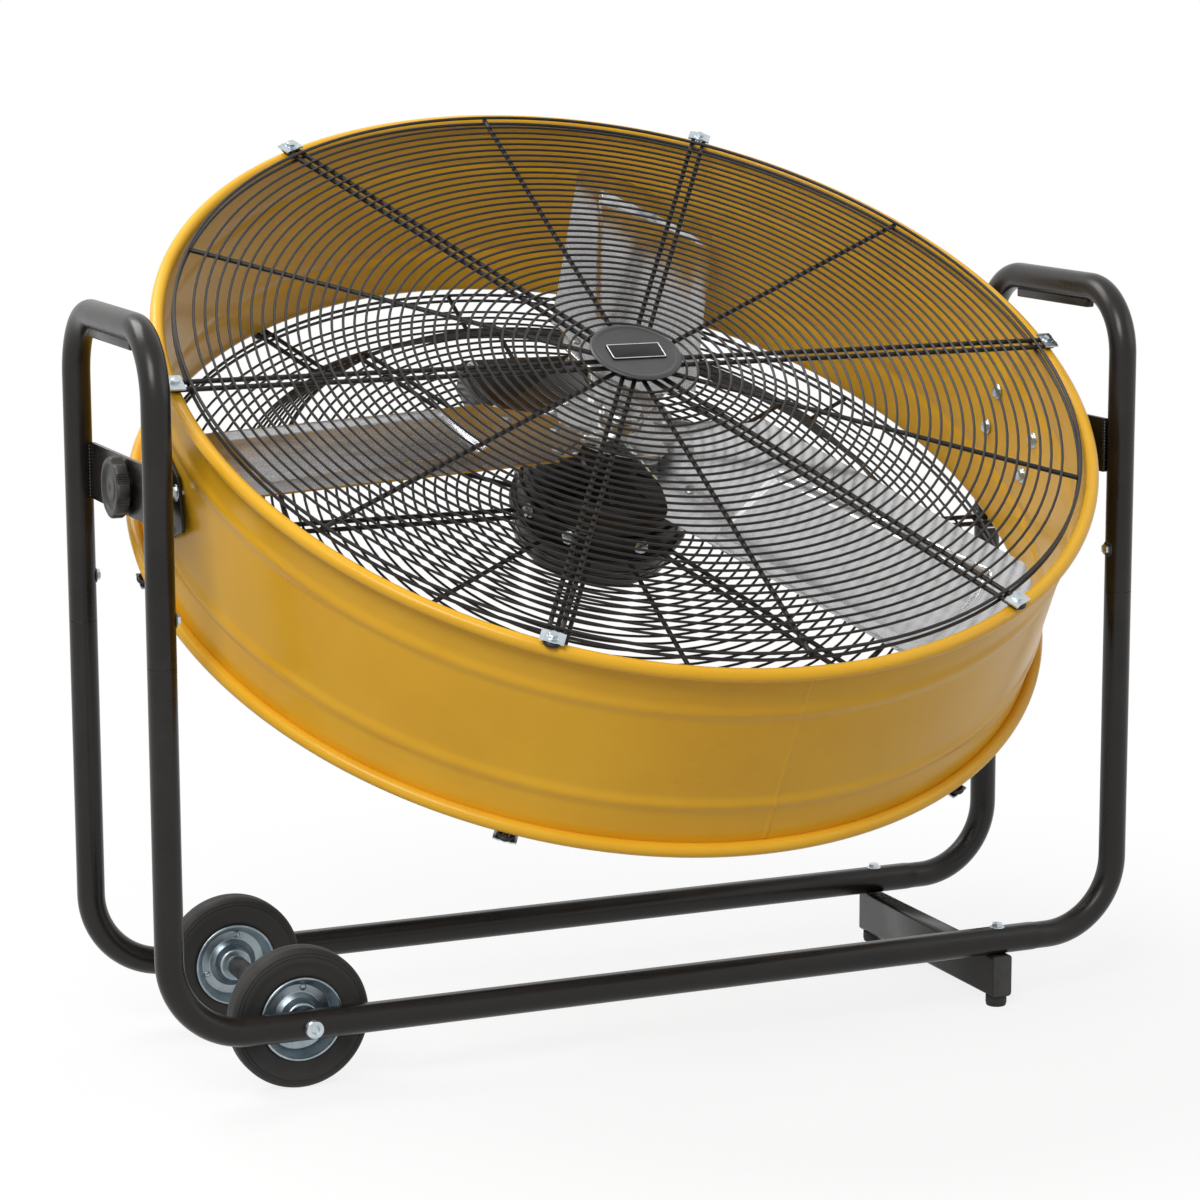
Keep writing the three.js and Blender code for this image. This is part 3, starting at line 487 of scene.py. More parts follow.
def weldSeam():
    # a low bead of weld along the wall, whose width ripples as 1 + 0.12·sin(2.4·h)
    v = drumValues
    line = wallLine(v["bore"] + v["wall"] - 0.2, -v["seamHalf"], v["seamHalf"], 160)
    path = np.column_stack([line[:, 0], np.zeros(len(line)), line[:, 1]])
    ripple = 1 + 0.12 * np.sin(2.4 * line[:, 1])[:, None, None]
    section = circle(v["seamThickness"] / 2, 10) * [1, v["seamWidth"] / v["seamThickness"]] * ripple
    return turnedBy(sweep(path, section, (0, 1, 0)), v["seamAngle"])


drumPiece("drumShell", joined([drumShell(), weldSeam()]), "yellowEnamel", "drum_shell", 40)


# Pivot plates, bosses and knobs

pivotValues = {"inner": 466.9, "thickness": 4, "tangent": 76, "axial": 37, "corner": 6,
               "boltTangent": 44, "boltAxial": 23, "boltRadius": 3, "across": 10, "bossRadius": 16,
               "bossEnd": 500.2, "studRadius": 5, "washerRadius": 8.2, "wallAtBolts": 462.6}


def pivotPlate():
    v = pivotValues
    flat = v["tangent"] - v["axial"]
    corners = [(-v["tangent"], 0), (-flat, -v["axial"]), (flat, -v["axial"]), (v["tangent"], 0),
               (flat, v["axial"]), (-flat, v["axial"])]
    outer = v["inner"] + v["thickness"]
    bore, r, end = v["studRadius"], v["bossRadius"], v["bossEnd"]
    boss = revolve([(bore + 0.4, outer - 1), (r + 3, outer - 1), (r + 2.6, outer + 0.8),
                    (r + 0.8, outer + 2.2), (r, outer + 3.2), (r, end - 1), (r - 1, end), (bore + 1, end),
                    (bore + 0.4, end - 0.6)], 64, True)
    return joined([slab(bentPath(corners, v["corner"], 6, True), v["inner"], outer, 0.7), boss])


def pivotBolts():
    # a nut and the thread's end outside, the head inside the drum and the shank between them
    v = pivotValues
    outer, r = v["inner"] + v["thickness"], v["boltRadius"]
    head = boltHead(v["across"], -v["wallAtBolts"], 3.8, v["washerRadius"])
    one = joined([boltHead(v["across"], outer, 4.4, v["washerRadius"]),
                  revolve([(r, outer), (r, outer + 7.6), (r - 0.6, outer + 8.2)], 20),
                  placed(head, axes=[[1, 0, 0], [0, -1, 0], [0, 0, -1]]),
                  revolve([(r, v["wallAtBolts"] - 2), (r, outer + 1)], 16)])
    return atCorners(one, v["boltTangent"], v["boltAxial"])


knobValues = {"radius": 30, "lobes": 8, "scallop": 1.7, "ribs": 5, "ribDepth": 0.9, "seat": 506.8,
              "face": 509.3, "top": 523.3, "collar": 13, "steps": 480, "studStart": 473.6,
              "threadPitch": 1.5, "threadRadii": (4.35, 5), "washer": (5.2, 16, 506.1, 507.9)}


def knobGrip():
    # r(θ) = radius − scallop·(1 − cos 8θ)/2, with fine ribs cut into the eight hollows
    v = knobValues
    turn = np.arange(v["steps"]) * 2 * np.pi / v["steps"]
    hollow = (1 - np.cos(v["lobes"] * turn)) / 2
    ribs = v["ribDepth"] * (1 + np.cos(v["lobes"] * 2 * v["ribs"] * turn)) / 2
    dent = v["scallop"] * hollow + ribs * np.clip(hollow * 3 - 1.2, 0, 1)
    seat, face, top, collar, r = v["seat"], v["face"], v["top"], v["collar"], v["radius"]
    # height, radius and the share of the dents at that height
    levels = [(seat + 1.2, collar - 1, 0), (seat + 1.6, collar, 0), (face - 0.2, collar, 0),
              (face, collar + 1, 0), (face, r - 3, 0), (face + 0.9, r - 1, 0.5), (face + 2.4, r, 1),
              (top - 3.4, r, 1), (top - 1.6, r - 0.4, 0.8), (top - 0.5, r - 1.5, 0.3), (top, r - 3, 0),
              (top, r - 5.6, 0), (top - 0.5, r - 6.6, 0), (top - 2.4, r - 7.6, 0), (top - 3, r - 8.6, 0),
              (top - 3, 14, 0), (top - 2.4, 13, 0), (top - 1.7, 12.3, 0), (top - 1.6, 11, 0),
              (top - 1.6, 5, 0), (top - 2.4, 3.4, 0)]
    rows = []
    for height, size, share in levels:
        rows.append(ring(size - share * dent, turn, height))
    return loft(rows)


def knobStud():
    # the thread is a row of rings, one pitch apart, and a washer lies under the knob
    v = knobValues
    height = np.arange(v["studStart"], v["face"] - 1, v["threadPitch"] / 2)
    radius = np.array(v["threadRadii"])[np.arange(len(height)) % 2]
    stud = revolve(np.stack([radius, height], axis=1), 24)
    return joined([stud, washer(*v["washer"], 48)])


for side, name in sides:
    drumPiece(name + "PivotPlate", onSide(pivotPlate(), side), "blackPowderCoat", name + "_pivot_plate")
    drumPiece(name + "PivotBolts", onSide(pivotBolts(), side), "brightZinc", name + "_pivot_plate")
    body, node = name + "_knob_body", name + "_knob"
    makePiece(name + "Knob", placed(onSide(knobGrip(), side), pivot), "blackNylon", body, node, 40)
    makePiece(name + "KnobStud", placed(onSide(knobStud(), side), pivot), "brightZinc", body, node)
print("drum, pivots and knobs made")


# Guards

guardValues = {"wire": 5, "ringWire": 2.8, "ringPitch": 11.3, "conePitch": 9, "firstRing": 54,
               "lastRing": 445, "edgeRadius": 457, "edgeWire": 3.5, "pairs": 6, "pairHalf": 6,
               "spokeEnd": 482, "singleEnd": 458.5, "spokeBend": 14, "hubBore": 10, "hubDisc": 28,
               "rearBore": 86, "collar": 7, "dishInner": 330, "dishOuter": 384, "dishDepth": 51,
               "bite": 0.4}


def hoops(places, wire, count, sides=7):
    # one torus for each (radius, height)
    section = circle(wire / 2, sides)
    return joined([revolve(section + place, count, True) for place in places])


def spokePair(line, z):
    # two wires along the line, joined past the rim by a half circle in the guard's plane
    half = guardValues["pairHalf"]
    turn = np.linspace(-np.pi / 2, np.pi / 2, 15)
    bend = ring(half, turn, z) + [line[-1, 0], 0, 0]
    loop = sweep(bend, circle(guardValues["wire"] / 2, 10), (0, 0, 1))
    return joined([spokeWire(line, -half), spokeWire(line, half), loop])


def spokeWire(line, y):
    # one wire along a line of (r, h), that far beside the radius
    path = np.column_stack([line[:, 0], np.full(len(line), float(y)), line[:, 1]])
    return sweep(path, circle(guardValues["wire"] / 2, 10), (0, 1, 0))


def guardSpokes(inner, z, corners=()):
    # doubled spokes and single ones in turn, from the middle out by way of the corners
    v = guardValues
    start = (inner, corners[0][1] if corners else z)
    end = (v["spokeEnd"] - v["wire"] / 2 - v["pairHalf"], z)
    line = bentPath([start, *corners, end], v["spokeBend"], 6)
    single = line.copy()
    single[-1, 0] = v["singleEnd"]
    step = 360 / v["pairs"]
    return [around(spokePair(line, z), np.arange(v["pairs"]) * step),
            around(spokeWire(single, 0), (np.arange(v["pairs"]) + 0.5) * step)]


def edgeHoops(z):
    # the outer ring is two wires, over and under the spokes
    v = guardValues
    away = (v["wire"] + v["edgeWire"]) / 2 - v["bite"]
    return hoops([(v["edgeRadius"], z + away), (v["edgeRadius"], z - away)], v["edgeWire"], 192)


def flatRing(inner, outer, z):
    # a band of the wire's thickness, round the middle of a guard
    half = guardValues["wire"] / 2
    return band(inner, outer, z - half, z + half, 64)


def frontGuard():
    v = guardValues
    z = places["spokeZ"]
    over = z + v["wire"] / 2 - v["bite"]
    radii = np.arange(v["firstRing"], v["lastRing"], v["ringPitch"])
    rings = hoops([(r, over + v["ringWire"] / 2) for r in radii], v["ringWire"], 120)
    disc = flatRing(v["hubBore"], v["hubDisc"], z)
    return joined(guardSpokes(v["hubDisc"] - 5, z) + [rings, edgeHoops(z), disc])


def rearGuard():
    v = guardValues
    z = -places["spokeZ"]
    deep = z + v["dishDepth"]
    corners = [(v["dishInner"], deep), (v["dishOuter"], z)]
    line = np.array([(v["rearBore"] + 4, deep)] + corners + [(v["lastRing"], z)])
    lengths = np.linalg.norm(np.diff(line, axis=0), axis=1)
    reached = np.concatenate([[0], np.cumsum(lengths)])
    # rings every pitch along the line, closer on the cone, moved off it to the rear: normal = (dh, −dr)
    walk = np.concatenate([np.arange(v["ringPitch"], reached[1], v["ringPitch"]),
                           np.arange(reached[1] + 3, reached[2], v["conePitch"]),
                           np.arange(reached[2] + 5, reached[3], v["ringPitch"])])
    along = np.stack([np.interp(walk, reached, line[:, k]) for k in (0, 1)], axis=1)
    direction = (np.diff(line, axis=0) / lengths[:, None])[np.searchsorted(reached, walk) - 1]
    normal = np.stack([direction[:, 1], -direction[:, 0]], axis=1)
    off = (v["wire"] + v["ringWire"]) / 2 - v["bite"]
    rings = hoops(along + off * normal, v["ringWire"], 120)
    collar = flatRing(v["rearBore"], v["rearBore"] + v["collar"], deep)
    return joined(guardSpokes(v["rearBore"] + 2, z, corners) + [rings, edgeHoops(z), collar])


clipValues = {"radial": 15, "tangent": 23, "thickness": 1.7, "hump": 0.7, "humpWidth": 9, "seat": 118.6,
              "across": 8, "head": 3.2, "screwRadius": 2.5, "screwEnd": 108, "count": 6}


def clip():
    # a saddle over the loop: height = hump · cos² of the way between its two wires
    v = clipValues
    x = np.linspace(-1, 1, 9) * v["radial"] / 2
    y = np.linspace(-1, 1, 33) * v["tangent"] / 2
    gridX, gridY = np.meshgrid(x, y, indexing="ij")
    away = np.abs(gridY) - guardValues["pairHalf"]
    wave = np.cos(np.pi * away / v["humpWidth"]) ** 2
    rise = np.where(np.abs(away) < v["humpWidth"] / 2, v["hump"] * wave, 0)
    grid = np.stack([gridX + places["rimRadius"], gridY, v["seat"] + v["thickness"] / 2 + rise], axis=-1)
    seat, r = v["seat"] + v["thickness"], v["screwRadius"]
    shank = revolve([(r, v["screwEnd"]), (r, seat + 1)], 16)
    screw = joined([boltHead(v["across"], seat, v["head"], 5.6, 0.9), shank])
    return joined([thickened(grid, (0, 0, v["thickness"])), placed(screw, (places["rimRadius"], 0, 0))])


drumPiece("frontGuard", frontGuard(), "paintedWire", "front_guard", 40)
drumPiece("rearGuard", rearGuard(), "paintedWire", "rear_guard", 40)
clipAngles = np.arange(clipValues["count"]) * 360 / clipValues["count"]
mirrored = placed(clip(), (0, 0, 1.2), [[1, 0, 0], [0, -1, 0], [0, 0, -1]])
drumPiece("rearGuardClips", around(mirrored, clipAngles), "brightZinc", "rear_guard")
for k, angle in enumerate(clipAngles):
    drumPiece("frontClip" + str(k + 1), turnedBy(clip(), angle), "brightZinc", "front_clip_" + str(k + 1))

capValues = {"radius": 46.8, "neck": 24, "seat": 118.6, "top": 131.4, "stem": 9.5, "stemEnd": 112.6,
             "badgeWidth": 58, "badgeHeight": 25, "badgeTop": 132, "badgeCorner": 2.4, "border": 1.1}


def hubCap():
    # a neck on the guard's disc, and over it a wide rolled rim round a flat middle
    v = capValues
    s, r, n, t = v["seat"], v["radius"], v["neck"], v["top"]
    return revolve([(v["stem"], v["stemEnd"]), (v["stem"], s), (n - 0.6, s), (n, s + 0.6), (n, t - 5.4),
                    (n + 1.2, t - 4.2), (r - 2.6, t - 3.6), (r - 0.9, t - 3.1), (r, t - 2.3), (r, t - 1.7),
                    (r - 0.5, t - 0.9), (r - 1.5, t - 0.35), (r - 3, t), (r - 4.6, t), (r - 6, t - 0.4),
                    (r - 6.9, t - 0.9), (r - 8, t - 1.05), (1, t - 1.05)], 128)


def badgePlate():
    # the blank plate in its recess, and a bright border that stands a little over it
    v = capValues
    outline = rectangle(v["badgeWidth"], v["badgeHeight"], v["badgeCorner"])
    low, high, border = v["badgeTop"] - 0.8, v["badgeTop"], v["border"]
    edge = prism(outline, [(low, 0.5), (high - 0.1, 0.5), (high, 0.6), (high, 0.4 + border),
                           (high - 0.1, 0.5 + border), (low, 0.5 + border)], True)
    return slab(outline, v["top"] - 1.3, high - 0.25, 0.25), edge


badge, badgeEdge = badgePlate()
drumPiece("hubCap", hubCap(), "greyAbs", "hub_cap", 40)
drumPiece("blankBadge", badge, "anodisedPlate", "blank_badge")
drumPiece("badgeEdge", badgeEdge, "brightEdge", "blank_badge")
print("guards, clips and hub cap made")


# Motor, mount and switch box

motorValues = {"rear": -92, "front": -22, "wall": 3, "ribs": 10, "throughBolts": 4, "boltCircle": 66,
               "mountBand": 3, "mountHeight": 24, "flange": 8.2, "frontBell": (-8, -21.7, 9),
               "rearBell": (-106, -92.3, 4), "grooveAt": 7.5, "grooveDepth": 0.7,
               "mountBolts": (-169, -133, -83, -43, 11, 56, 101, 146)}


def motorBarrel():
    # a tube with a shallow groove near each end
    r, v = places["motorRadius"], motorValues
    a, b = v["rear"], v["front"]
    low, high, deep = a + v["grooveAt"], b - v["grooveAt"], r - v["grooveDepth"]
    wall = [(r - v["wall"], a), (r - 0.6, a), (r, a + 1)]
    for middle in (low, high):
        wall += [(r, middle - 1.5), (deep, middle - 0.7), (deep, middle + 0.7), (r, middle + 1.5)]
    return revolve(wall + [(r, b - 1), (r - 0.6, b), (r - v["wall"], b)], 128, True)


def motorBell(end, seat, hole):
    # a domed casting with radial ribs, and the nuts of the through bolts; end is its outer face
    r, v = places["motorRadius"], motorValues
    out = 1 if end > seat else -1
    # radius, and height over the outer face
    dome = [(r, -8), (r - 1, -5.6), (r - 3.4, -3.2), (r - 7.5, -1.4), (r - 14, -0.6), (31, -0.6), (28, 0),
            (26, 1.6), (22, 2), (hole, 2)]
    dome = [(hole, seat), (r - 0.6, seat), (r, seat + out * 0.6)] + [(a, end + out * h) for a, h in dome]
    rib = prism(rectangle(40, 5, 2), [(end - out * 2, 0), (end + out * 0.4, 0), (end + out * 0.9, 0.5)])
    ribs = around(placed(rib, (50, 0, 0)), np.arange(v["ribs"]) * 360 / v["ribs"])
    flip = [[1, 0, 0], [0, out, 0], [0, 0, out]]
    nut = placed(boltHead(8, 0, 3.4, 6, 1), (v["boltCircle"], 0, end - out * 0.8), flip)
    bolts = around(nut, 18 + np.arange(v["throughBolts"]) * 360 / v["throughBolts"])
    return joined([revolve(dome, 128, True), ribs]), bolts


def motorMount():
    # a band round the barrel with a flange on the rear guard, and its radial bolts
    v = motorValues
    inner = places["motorRadius"] + 0.3
    band, rim = inner + v["mountBand"], inner + v["flange"]
    low = places["guardFace"]
    top, flangeTop = low + v["mountHeight"], low + v["mountBand"]
    mount = revolve([(inner, low), (rim - 0.5, low), (rim, low + 0.5), (rim, flangeTop - 0.5),
                     (rim - 0.5, flangeTop), (band + 2.6, flangeTop), (band + 0.8, flangeTop + 0.8),
                     (band, flangeTop + 2.6), (band, top - 0.7), (band - 0.7, top), (inner + 0.5, top),
                     (inner, top - 0.5)], 128, True)
    bolt = placed(onSide(boltHead(10, band - 0.3, 4.2, 7.6), 1), (0, 0, (flangeTop + top) / 2))
    return mount, around(bolt, v["mountBolts"])


frontBell = motorBell(*motorValues["frontBell"])[0]
rearBell, rearNuts = motorBell(*motorValues["rearBell"])
mount, mountBolts = motorMount()
drumPiece("motorBarrel", motorBarrel(), "motorEnamel", "motor_barrel")
drumPiece("motorFrontBell", frontBell, "motorEnamel", "motor_front_bell")
drumPiece("motorRearBell", rearBell, "motorEnamel", "motor_rear_bell")
drumPiece("motorNuts", rearNuts, "brightZinc", "motor_rear_bell")
drumPiece("motorMount", mount, "motorEnamel", "motor_mount")
drumPiece("motorMountBolts", mountBolts, "brightZinc", "motor_mount")

boxValues = {"width": 136, "depth": 100, "centre": (-18, 167), "corner": 9, "height": 32, "lid": 2.5,
             "lidGap": 0.3, "screwX": 56, "screwY": 39, "glandX": 16, "glandV": 217, "glandZ": -46}


def switchBox():
    # a pressed case, its lid and the four screws of the lid
    v = boxValues
    low = places["guardFace"]
    outline = rectangle(v["width"], v["depth"], v["corner"], 6) + v["centre"]
    case = prism(outline, [(low, 1.5), (low + 0.5, 0.5), (low + 1.5, 0), (low + v["height"] - 3, 0.4),
                           (low + v["height"] - 3, 1.2), (low + v["height"], 1.2)])
    seat = low + v["height"] + v["lidGap"]
    top = seat + v["lid"]
    lid = prism(outline, [(seat - 2.4, 0.2), (seat - 2.4, 0), (seat + 0.9, 0), (top - 0.5, 0.5),
                          (top, 1.8), (top, 8), (top - 0.6, 9)])
    screw = boltHead(8, top - 0.6, 3.2, 6.4, 1)
    return case, lid, atCorners(screw, v["screwX"], v["screwY"], v["centre"])


def cableGland():
    # along the drum's V axis: a hex body, a ribbed dome nut and its open throat
    body = prism(hexagon(17), [(0.3, 0.4), (0.7, 0), (4.6, 0), (5, 0.6)])
    turn = np.arange(96) * 2 * np.pi / 96
    rows = []
    for height, radius, rib in ((4.6, 8, 0), (4.6, 8.4, 0.5), (10.5, 8.4, 0.5), (11, 8, 0), (13, 7.2, 0),
                                (15, 6.2, 0), (15.9, 5.4, 0), (15.9, 3.8, 0), (9, 3.6, 0)):
        rows.append(ring(radius + rib * np.cos(24 * turn), turn, height))
    v = boxValues
    return placed(joined([body, loft(rows)]), (v["glandX"], v["glandV"], v["glandZ"]),
                  [[1, 0, 0], [0, 0, -1], [0, 1, 0]])


boxCase, boxLid, lidScrews = switchBox()
drumPiece("switchBox", boxCase, "blackPowderCoat", "switch_box")
drumPiece("switchBoxLid", boxLid, "blackPowderCoat", "switch_box_lid")
drumPiece("lidScrews", lidScrews, "brightZinc", "switch_box_lid")
drumPiece("cableGland", cableGland(), "blackNylon", "cable_gland")
print("motor and switch box made")


# Fan

fanValues = {"blades": 3, "pitch": 16, "centre": 46, "first": 64.6, "tip": 452, "lead": 89, "trail": 78,
             "root": 62, "rootCut": 50, "tipCut": 20, "thickness": 2, "camber": 0.8, "camberFrom": 150,
             "camberOver": 200, "seat": -3.05, "armThickness": 3, "armStrips": 62, "armColumns": 13,
             "fold": 6, "foldHalf": 1.3, "twistFrom": 28, "twistOver": 34, "plate": 62, "plateDraw": 0.05,
             "hubRadius": 24, "hubHeight": 34, "shaft": 8, "shaftStart": -102.7, "shaftEnd": 65}
panelValues = {"depth": 2, "slope": 0.05, "start": 162, "end": 412, "low": -78, "high": 43, "spread": 0.08,
               "shoulder": 9, "lowShoulder": 18}
rivetPlaces = [(78, 10), (111, -34), (100, 60)]


def pitched(shell):
    # leans a blade's own plane by the pitch about its radial line, and lifts it to the fan's height
    lean = np.radians(fanValues["pitch"])
    c, s = np.cos(lean), np.sin(lean)
    return placed(shell, (0, 0, fanValues["centre"]), [[1, 0, 0], [0, c, s], [0, -s, c]])


def smoothStep(value):
    value = np.clip(value, 0, 1)
    return value * value * (3 - 2 * value)


def bladeSheet():
    # columns across the blade, rows from its root to its tip; both ends draw in near the two edges
    v = fanValues
    turn = np.linspace(0, np.pi, 121)
    across = (v["lead"] - v["trail"]) / 2 - np.cos(turn) * (v["lead"] + v["trail"]) / 2
    edge = np.minimum(across + v["trail"], v["lead"] - across)
    rootCut = v["rootCut"] * (1 - smoothStep(edge / v["rootCut"] * 0.72)) ** 1.4
    tipCut = v["tipCut"] * np.clip(1 - edge / v["tipCut"] / 1.6, 0, 1) ** 2
    start = v["root"] + rootCut
    end = np.sqrt(v["tip"] ** 2 - across ** 2) - tipCut
    share = np.linspace(0, 1, 161)[:, None]
    out = start + share * (end - start)
    side = np.broadcast_to(across, out.shape)
    # camber is an arc, camber·(1 − (s / half width)²), that fades out at the clamped root
    fade = smoothStep((out - v["camberFrom"]) / v["camberOver"])
    curve = v["camber"] * (1 - (across / v["lead"]) ** 2) * fade
    # one panel pressed away from the front, wider at the tip: depth + slope·(across − low), times four
    # shoulders from 0 to 1
    p = panelValues
    high = p["high"] + p["spread"] * (out - p["start"])
    panel = p["depth"] + p["slope"] * (side - p["low"])
    panel = panel * smoothStep((side - p["low"]) / p["lowShoulder"])
    for inside in (high - side, out - p["start"], p["end"] - np.hypot(out, side)):
        panel = panel * smoothStep(inside / p["shoulder"])
    return np.stack([out, side, v["thickness"] / 2 + curve - panel], axis=-1)


def blade():
    # the sheet with its thickness, and for every point its place on the flat sheet
    grid = bladeSheet()
    shell = thickened(grid, (0, 0, fanValues["thickness"]))
    flat = grid[..., :2].reshape(-1, 2)
    return pitched(shell), np.concatenate([flat, flat])


def twisted(shell):
    # flat at the hub and leaning by the blades' pitch from the pads on
    v = fanValues
    out, side, up = shell[0].T
    lean = np.radians(v["pitch"]) * smoothStep((out - v["twistFrom"]) / v["twistOver"])
    points = np.stack([out, side * np.cos(lean) - up * np.sin(lean),
                       side * np.sin(lean) + up * np.cos(lean) + v["centre"]], axis=1)
    return points, shell[1]


armOutline = [(6, -18), (40, -36), (62, -38), (85, -46), (128, -46),
              (128, 72), (85, 72), (62, 40), (40, 36), (6, 18)]
foldLines = [[(24, -27), (40, -35), (62, -37), (85, -44.5), (97, -44.5)],
             [(24, 27), (40, 35), (62, 39), (83, 69.5), (97, 70.5)]]


def strips(outline, reach):
    # the lowest and the highest y at which the outline crosses each x of reach
    ahead = np.roll(outline, -1, axis=0)
    found = []
    for x in reach:
        crossing = (outline[:, 0] - x) * (ahead[:, 0] - x) <= 0
        a, b = outline[crossing], ahead[crossing]
        run = np.where(b[:, 0] == a[:, 0], 1, b[:, 0] - a[:, 0])
        y = a[:, 1] + (b[:, 1] - a[:, 1]) * (x - a[:, 0]) / run
        found.append([y.min(), y.max()])
    return np.array(found).T[..., None]


def spiderArm():
    # the arm is cut into strips along its length, so that the sheet can twist
    v = fanValues
    top = v["seat"] + v["armThickness"]
    reach = np.linspace(6.01, 127.99, v["armStrips"])
    low, high = strips(bentPath(armOutline, 5, 5, True), reach)
    across = low + (high - low) * np.linspace(0, 1, v["armColumns"])
    middle = np.full_like(across, (v["seat"] + top) / 2)
    grid = np.stack([np.broadcast_to(reach[:, None], across.shape), across, middle], axis=-1)
    sheet = thickened(grid, (0, 0, v["armThickness"]))
    # both long edges are folded up, and the folds run out where the blade lies on the arm
    folds = []
    for line in foldLines:
        path = bentPath(line, 9, 7)
        rise = v["fold"] * smoothStep((66 - path[:, 0]) / 12) * smoothStep((path[:, 0] - 20) / 14)
        up = np.column_stack([path, np.full(len(path), top)])
        w = v["foldHalf"]
        section = [[[w, -1.5], [w, r - 1], [0.6, r], [-0.6, r], [-w, r - 1], [-w, -1.5]]
                   for r in rise + 0.6]
        folds.append(sweep(up, section, (0, 0, 1)))
    return twisted(joined([sheet] + folds))


def rivets():
    # domed heads over the blade and under the arm
    v = fanValues
    dome = [(5.6, 0), (5.6, 0.4), (5.1, 1.1), (4.1, 1.7), (2.6, 2.1), (0.6, 2.25)]
    high = revolve([(r, v["thickness"] + h) for r, h in dome], 24)
    low = revolve([(r, v["seat"] - h) for r, h in dome], 24)
    return pitched(joined([placed(joined([high, low]), (*place, 0)) for place in rivetPlaces]))


def hubBoss():
    # the turned boss with its two set screws, and the middle plate of the spider
    v = fanValues
    low, r = v["centre"] - v["hubHeight"] / 2, v["hubRadius"]
    high = low + v["hubHeight"]
    boss = revolve([(8.3, low), (r - 1, low), (r, low + 1), (r, high - 10), (r - 0.8, high - 8),
                    (r - 3, high - 7), (r - 3, high - 1.2), (r - 4.2, high), (9.3, high), (8.3, high - 1)],
                   96, True)
    screw = placed(onSide(hexHead(8, r - 4, r + 1.8), 1), (0, 0, high - 16))
    top = v["centre"] + v["seat"] + v["armThickness"] + 0.4
    turn = np.arange(120) * np.pi / 60
    # the middle plate is drawn in a little between the arms: r = plate·(1 + draw·cos 3θ)
    edge = v["plate"] * (1 + v["plateDraw"] * np.cos(v["blades"] * (turn - np.radians(v["first"]))))
    plate = slab(ring(edge, turn, 0)[:, :2], top - 3.6, top, 0.6)
    return joined([boss, plate, turnedBy(screw, 5), turnedBy(screw, 95)])


shaft, shaftEnd = fanValues["shaft"], fanValues["shaftEnd"]
motorShaft = revolve([(shaft, fanValues["shaftStart"]), (shaft, shaftEnd - 1), (shaft - 0.8, shaftEnd),
                      (2, shaftEnd), (1.2, shaftEnd - 0.8)], 64)
bladeAngles = fanValues["first"] + 360 / fanValues["blades"] * np.arange(fanValues["blades"])
bladeShell, bladeFlat = blade()
for k, angle in enumerate(bladeAngles):
    fanPiece("blade" + str(k + 1), turnedBy(bladeShell, angle), "rolledAluminium", "blade_" + str(k + 1),
             30, bladeFlat)
fanPiece("spider", joined([hubBoss(), around(spiderArm(), bladeAngles)]), "platedSpider", "fan_hub")
fanPiece("rivets", around(rivets(), bladeAngles), "turnedSteel", "fan_hub")
fanPiece("motorShaft", motorShaft, "turnedSteel", "motor_shaft")
print("fan made")


# Frames, handles and side plates

tubeValues = {"radius": 14, "frameBend": 78, "handleBend": 66, "flatten": 0.94, "stepAt": 424,
              "stepLength": 7, "sides": 40, "plate": (255, 56), "plateOuter": 506, "strip": 9.6,
              "stripWidth": 10, "weldRadius": 2.1, "weldHalf": 26, "weldY": 128.6,
              "sleeve": (9, 11), "sleeveHalf": 55}


def lowerFrame(y):
    # the base is pressed a little flatter between the bends, over a short step
    v, p = tubeValues, places
    x, low, high = p["legX"], p["baseHeight"], p["seamHeight"]
    path = bentPath([(-x, y, high), (-x, y, low), (x, y, low), (x, y, high)], v["frameBend"], 24)
    middle = len(path) // 2
    base = np.linspace(-v["stepAt"] - 12, v["stepAt"] + 12, 220)
    base = np.column_stack([base, np.full_like(base, y), np.full_like(base, low)])
    path = np.concatenate([path[:middle], base, path[middle:]])
    pressed = smoothStep((v["stepAt"] - np.abs(path[:, 0])) / v["stepLength"]) * (path[:, 2] < low + 1)
    scale = 1 - (1 - v["flatten"]) * pressed
    section = circle(v["radius"], v["sides"])[None] * np.stack([2 - scale, scale], axis=1)[:, None]
    section[..., 0] = np.clip(section[..., 0], -v["radius"], v["radius"])
    return sweep(path, section, (0, 1, 0))


def handle(side):
    # a bent tube with the folded strip under its grip
    v, p = tubeValues, places
    x, y, low, high = side * p["legX"], p["tubeY"], p["seamHeight"] + 0.5, p["gripHeight"]
    path = bentPath([(x, -y, low), (x, -y, high), (x, y, high), (x, y, low)], v["handleBend"], 24)
    tube = sweep(path, circle(v["radius"], v["sides"]), (1, 0, 0))
    strip = slab(rectangle(v["stripWidth"], 2 * (y - v["handleBend"]), 2.2), 0, v["strip"], 1.6)
    return joined([tube, placed(strip, (x, 0, high - v["radius"] - v["strip"] + 1.5))])


def sidePlate(side):
    # the plate between the legs and its two ripples of weld, radius 2.1·(1 + 0.14·sin(1.9·z))
    v = tubeValues
    inner, outer = places["legX"] - v["radius"], v["plateOuter"]
    blank = slab(rectangle(*v["plate"], 1.5), inner, outer, 0.6)
    shells = [placed(onSide(blank, side), pivot)]
    z = np.linspace(-v["weldHalf"], v["weldHalf"], 90)
    ripple = (1 + 0.14 * np.sin(1.9 * z))[:, None, None]
    for y in (-v["weldY"], v["weldY"]):
        for x in (inner + 0.2, outer + 0.6):
            path = np.column_stack([np.full_like(z, side * x), np.full_like(z, y), z + pivot[2]])
            shells.append(sweep(path, circle(v["weldRadius"], 10) * ripple, (0, 1, 0)))
    return joined(shells)


